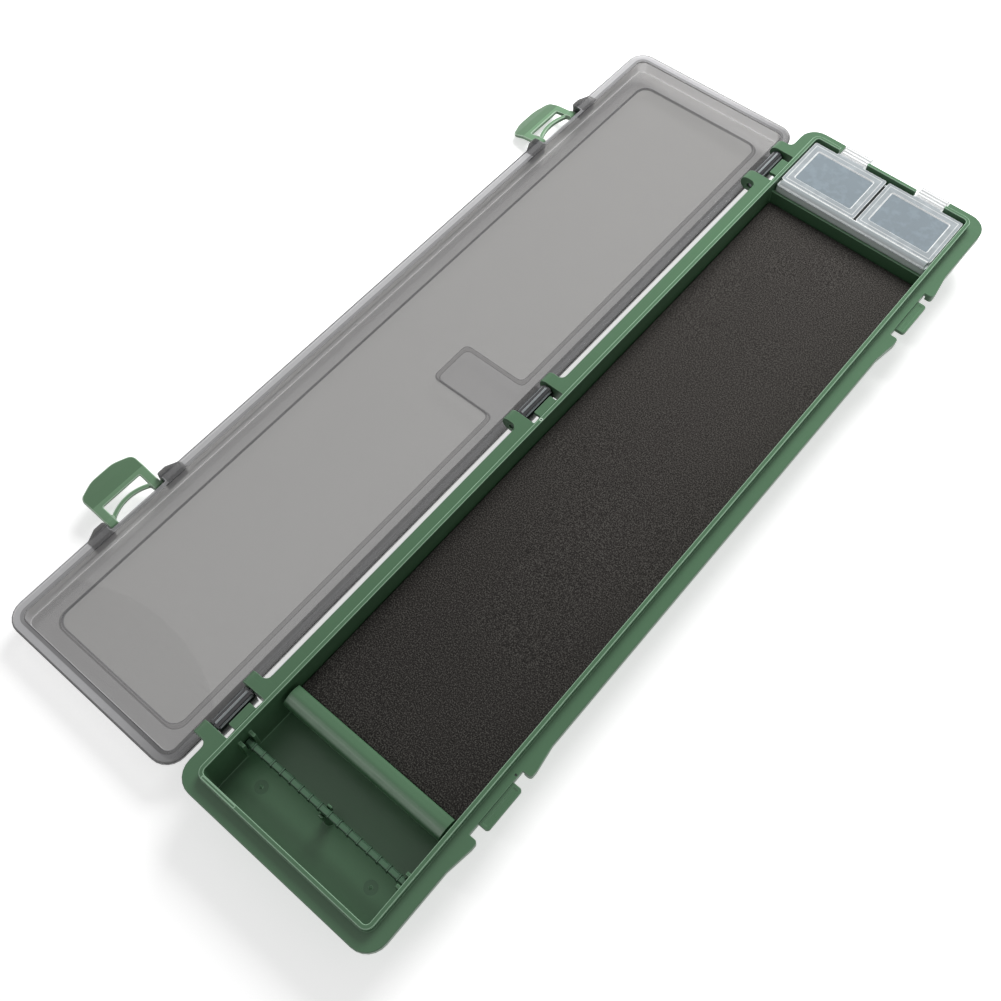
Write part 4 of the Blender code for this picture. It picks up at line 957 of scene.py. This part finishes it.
class RIGBOX_OT_bit_box(bpy.types.Operator):
    """Milky two-cell box and its two clear lids with ribbed thumb tabs"""

    bl_idname = "rig_box.bit_box"
    bl_label = "Bit box"

    def execute(self, context):
        colours, sizes, finish, _ = settings()
        form = welded("bit_box")
        edges = softened(form, sizes.small_edge)
        low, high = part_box("bit_box_lid_left")[1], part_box("bit_box_lid_right")[0]
        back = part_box("bit_box_lid_left")[0].y
        gap_shade_faces = [
            face
            for face in form.faces
            if low.x < face.calc_center_median().x < high.x
            and face.calc_center_median().y > back
            and face.normal.z > 0.9
        ]
        paint(form, form.faces, colours.milk, finish.milk_haze)
        # painted highlight on the bit box's rounded edges
        paint(form, edges, colours.clear_line, finish.white_haze)
        for face in form.faces:
            place = face.calc_center_median()
            if place.y < back and (place.z > STRIP_LOW or face.normal.y < -0.9):
                # tone goes from the top's grey on faces that look up to the painted light's white on faces
                # that look forward
                up = max(0.0, face.normal.z)
                tone = Vector(colours.strip_front_lit).lerp(Vector(colours.strip_top), up)
                paint(form, [face], tone, finish.white_haze)
        # painted shade: the partition's top in the gap between the small lids is painted near black
        paint(form, gap_shade_faces, colours.gap, 1.0)
        self.web(form, back, colours, finish)
        milk = see_through_plastic("milky_box", 0.15, dark=(0.6, 0.62, 0.63), density=120.0)
        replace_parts(piece_from(form, "bit_box_moulding", milk, "base"), "bit_box")
        clear = see_through_plastic("clear_lid", 0.06, dark=(0.6, 0.66, 0.7), density=90.0, marks=(mottle,))
        for side in ("left", "right"):
            self.lid(side, clear, colours, sizes, finish)
        return {"FINISHED"}

    def web(self, form, back, colours, finish):
        """Thin web between the strip and the small lids, where they bend."""
        low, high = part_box("bit_box")
        foot = Vector((low.x + WEB_ENDS, back - WEB_DEEP, SMALL_LID_TOP - WEB_DEEP))
        head = Vector((high.x - WEB_ENDS, back - WEB_BEHIND, SMALL_LID_TOP - WEB_BELOW))
        # the web takes the white painted highlight tone
        paint(form, block(form, foot, head), colours.clear_line, finish.white_haze)

    def lid(self, side, clear, colours, sizes, finish):
        low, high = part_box(f"bit_box_lid_{side}")
        form = welded(f"bit_box_lid_{side}")
        lines = softened(form, sizes.small_edge)
        for face in form.faces:
            place = face.calc_center_median()
            top = place.z > SMALL_LID_TOP - 3 * sizes.small_edge
            inner = abs(place.z - SMALL_LID_TOP + SMALL_LID_DISH) < 5 * LEVEL and face.normal.z > 0.9
            # painted highlight along the rounded edges of the tab and lid
            if place.y > THUMB_TAB_START:
                tone = (colours.clear_line if face in lines else colours.tab, finish.clear_haze)
            elif face in lines:
                tone = (colours.clear_line, finish.white_haze if top else finish.clear_haze)
            elif inner:
                tone = (colours.clear_panel, finish.panel_haze)
            else:
                tone = (colours.clear, finish.clear_haze)
            paint(form, [face], *tone)
        self.frame_line(form, low, high, colours, sizes, finish)
        self.ribs(form, colours, sizes, finish)
        body = f"bit_lid_{side}"
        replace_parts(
            piece_from(form, f"bit_lid_moulding_{side}", clear, body), f"bit_box_lid_{side}"
        )

    def frame_line(self, form, low, high, colours, sizes, finish):
        """Fine raised line round the lid's border."""
        foot = Vector((low.x + LINE_INSET, low.y + LINE_INSET, SMALL_LID_TOP - sizes.mark_rise))
        head = Vector((high.x - LINE_INSET, SMALL_LID_BACK - LINE_INSET, SMALL_LID_TOP + sizes.mark_rise / 2))
        # the raised line round the border takes the white painted highlight tone
        paint(form, outline(form, foot, head, sizes.line_width), colours.clear_line, finish.clear_haze)

    def ribs(self, form, colours, sizes, finish):
        """Three fine ribs across the thumb tab, for grip."""
        tab = [vert.co.x for vert in form.verts if vert.co.y > THUMB_TAB_START + MM]
        for y in THUMB_RIBS:
            foot = Vector((min(tab) + MM / 2, y - sizes.rib_width / 2, THUMB_TAB_TOP - sizes.rib_height))
            head = Vector((max(tab) - MM / 2, y + sizes.rib_width / 2, THUMB_TAB_TOP + sizes.rib_height))
            # the ribs take the white painted highlight tone
            paint(form, block(form, foot, head), colours.clear_line, finish.white_haze)


class RIGBOX_OT_studio(bpy.types.Operator):
    """Pale floor, softbox, shine strip and the camera"""

    bl_idname = "rig_box.studio"
    bl_label = "Studio"

    def execute(self, context):
        colours, _, _, studio = settings()
        scene = context.scene
        self.floor(colours.floor, studio.lift)
        self.dome(scene, studio.dome)
        key = self.softbox(scene, "key_light", KEY_PLACE, KEY_TARGET, KEY_SIZE, studio.key)
        key.visible_glossy = False
        strip = self.softbox(scene, "shine_strip", STRIP_PLACE, STRIP_TARGET, STRIP_SIZE, studio.shine)
        strip.visible_diffuse = False
        self.camera(scene)
        scene.view_settings.view_transform = "Standard"
        return {"FINISHED"}

    def floor(self, tone, lift):
        """White to the camera and in reflections, and it still takes the box's shadow. Far from the
        box it fades to the white behind it."""
        material, tree, out = blank("paper")
        paper = node(tree, "BsdfDiffuse", {"Color": (*tone, 1.0)})
        away = vector_of(tree, "LENGTH", node(tree, "TexCoord").outputs["Object"])
        strength = spread(tree, step(tree, away, FADE_START, FADE_END), lift, FAR_GLOW)
        glow = node(tree, "Emission", {"Color": (1, 1, 1, 1), "Strength": strength})
        both = node(tree, "AddShader", {0: paper.outputs["BSDF"], 1: glow.outputs["Emission"]})
        mix = node(
            tree,
            "MixShader",
            {0: seen_directly(tree), 1: paper.outputs["BSDF"], 2: both.outputs["Shader"]},
        )
        tree.links.new(mix.outputs["Shader"], out.inputs["Surface"])
        form = bmesh.new()
        bmesh.ops.create_circle(form, cap_ends=True, segments=96, radius=FLOOR_RADIUS)
        bmesh.ops.translate(form, vec=(0, 0, -FLOOR_DROP), verts=form.verts)
        floor = object_from(form, "paper_floor", material)

    def dome(self, scene, strength):
        world = bpy.data.worlds.new("dome")
        scene.world = world
        world.use_nodes = True
        tree = world.node_tree
        tree.nodes.clear()
        out = node(tree, "OutputWorld")
        lit = node(tree, "Background", {"Color": (1, 1, 1, 1), "Strength": strength})
        white = node(tree, "Background", {"Color": (1, 1, 1, 1), "Strength": 1.0})
        mix = node(
            tree,
            "MixShader",
            {0: seen_directly(tree), 1: lit.outputs["Background"], 2: white.outputs["Background"]},
        )
        tree.links.new(mix.outputs["Shader"], out.inputs["Surface"])

    def softbox(self, scene, name, place, target, size, power):
        lamp = bpy.data.lights.new(name, "AREA")
        lamp.shape = "RECTANGLE"
        lamp.size, lamp.size_y = size
        lamp.energy = power
        light = bpy.data.objects.new(name, lamp)
        scene.collection.objects.link(light)
        light.location = place
        light.rotation_euler = (target - place).to_track_quat("-Z", "Y").to_euler()
        return light

    def camera(self, scene):
        """At the photograph's place and angle."""
        ahead = CAMERA_AHEAD.normalized()
        up = CAMERA_RIGHT.normalized().cross(ahead).normalized()
        right = ahead.cross(up)
        data = bpy.data.cameras.new("camera")
        data.sensor_width = 36.0
        data.lens = CAMERA_LENS
        data.clip_start = 0.01
        camera = bpy.data.objects.new("camera", data)
        scene.collection.objects.link(camera)
        turn = Matrix((right, up, -ahead)).transposed().to_4x4()
        camera.matrix_world = Matrix.Translation(CAMERA_PLACE) @ turn
        scene.camera = camera


def seen_directly(tree):
    """1 for rays from the camera and for those that a mirror or clear plastic sends on."""
    path = node(tree, "LightPath").outputs
    first = math_of(tree, "MAXIMUM", path["Is Camera Ray"], path["Is Glossy Ray"])
    return math_of(tree, "MAXIMUM", first, path["Is Transmission Ray"])


class RIGBOX_PT_panel(bpy.types.Panel):
    """Buttons that make each piece"""

    bl_label = "Rig box"
    bl_idname = "RIGBOX_PT_panel"
    bl_space_type = "VIEW_3D"
    bl_region_type = "UI"
    bl_category = "Rig box"

    def draw(self, context):
        for group in settings():
            box = self.layout.box()
            for name in group.__annotations__:
                box.prop(group, name)
        for operator in OPERATORS:
            self.layout.operator(operator.bl_idname)


OPERATORS = (
    RIGBOX_OT_tray,
    RIGBOX_OT_hinge_pins,
    RIGBOX_OT_lid,
    RIGBOX_OT_latches,
    RIGBOX_OT_rig_bar,
    RIGBOX_OT_foam,
    RIGBOX_OT_bit_box,
    RIGBOX_OT_studio,
)
GROUPS = (RigBoxColours, RigBoxSizes, RigBoxFinish, RigBoxStudio)
CLASSES = (*GROUPS, *OPERATORS, RIGBOX_PT_panel)


def register():
    for each in CLASSES:
        bpy.utils.register_class(each)
    bpy.types.Scene.rig_box_colours = PointerProperty(type=RigBoxColours)
    bpy.types.Scene.rig_box_sizes = PointerProperty(type=RigBoxSizes)
    bpy.types.Scene.rig_box_finish = PointerProperty(type=RigBoxFinish)
    bpy.types.Scene.rig_box_studio = PointerProperty(type=RigBoxStudio)


def unregister():
    del bpy.types.Scene.rig_box_studio
    del bpy.types.Scene.rig_box_finish
    del bpy.types.Scene.rig_box_sizes
    del bpy.types.Scene.rig_box_colours
    for each in reversed(CLASSES):
        bpy.utils.unregister_class(each)


def main():
    register()
    bpy.ops.rig_box.tray()
    bpy.ops.rig_box.hinge_pins()
    bpy.ops.rig_box.lid()
    bpy.ops.rig_box.latches()
    bpy.ops.rig_box.rig_bar()
    bpy.ops.rig_box.foam()
    bpy.ops.rig_box.bit_box()
    bpy.ops.rig_box.studio()
    bpy.context.view_layer.update()


if __name__ == "__main__":
    main()
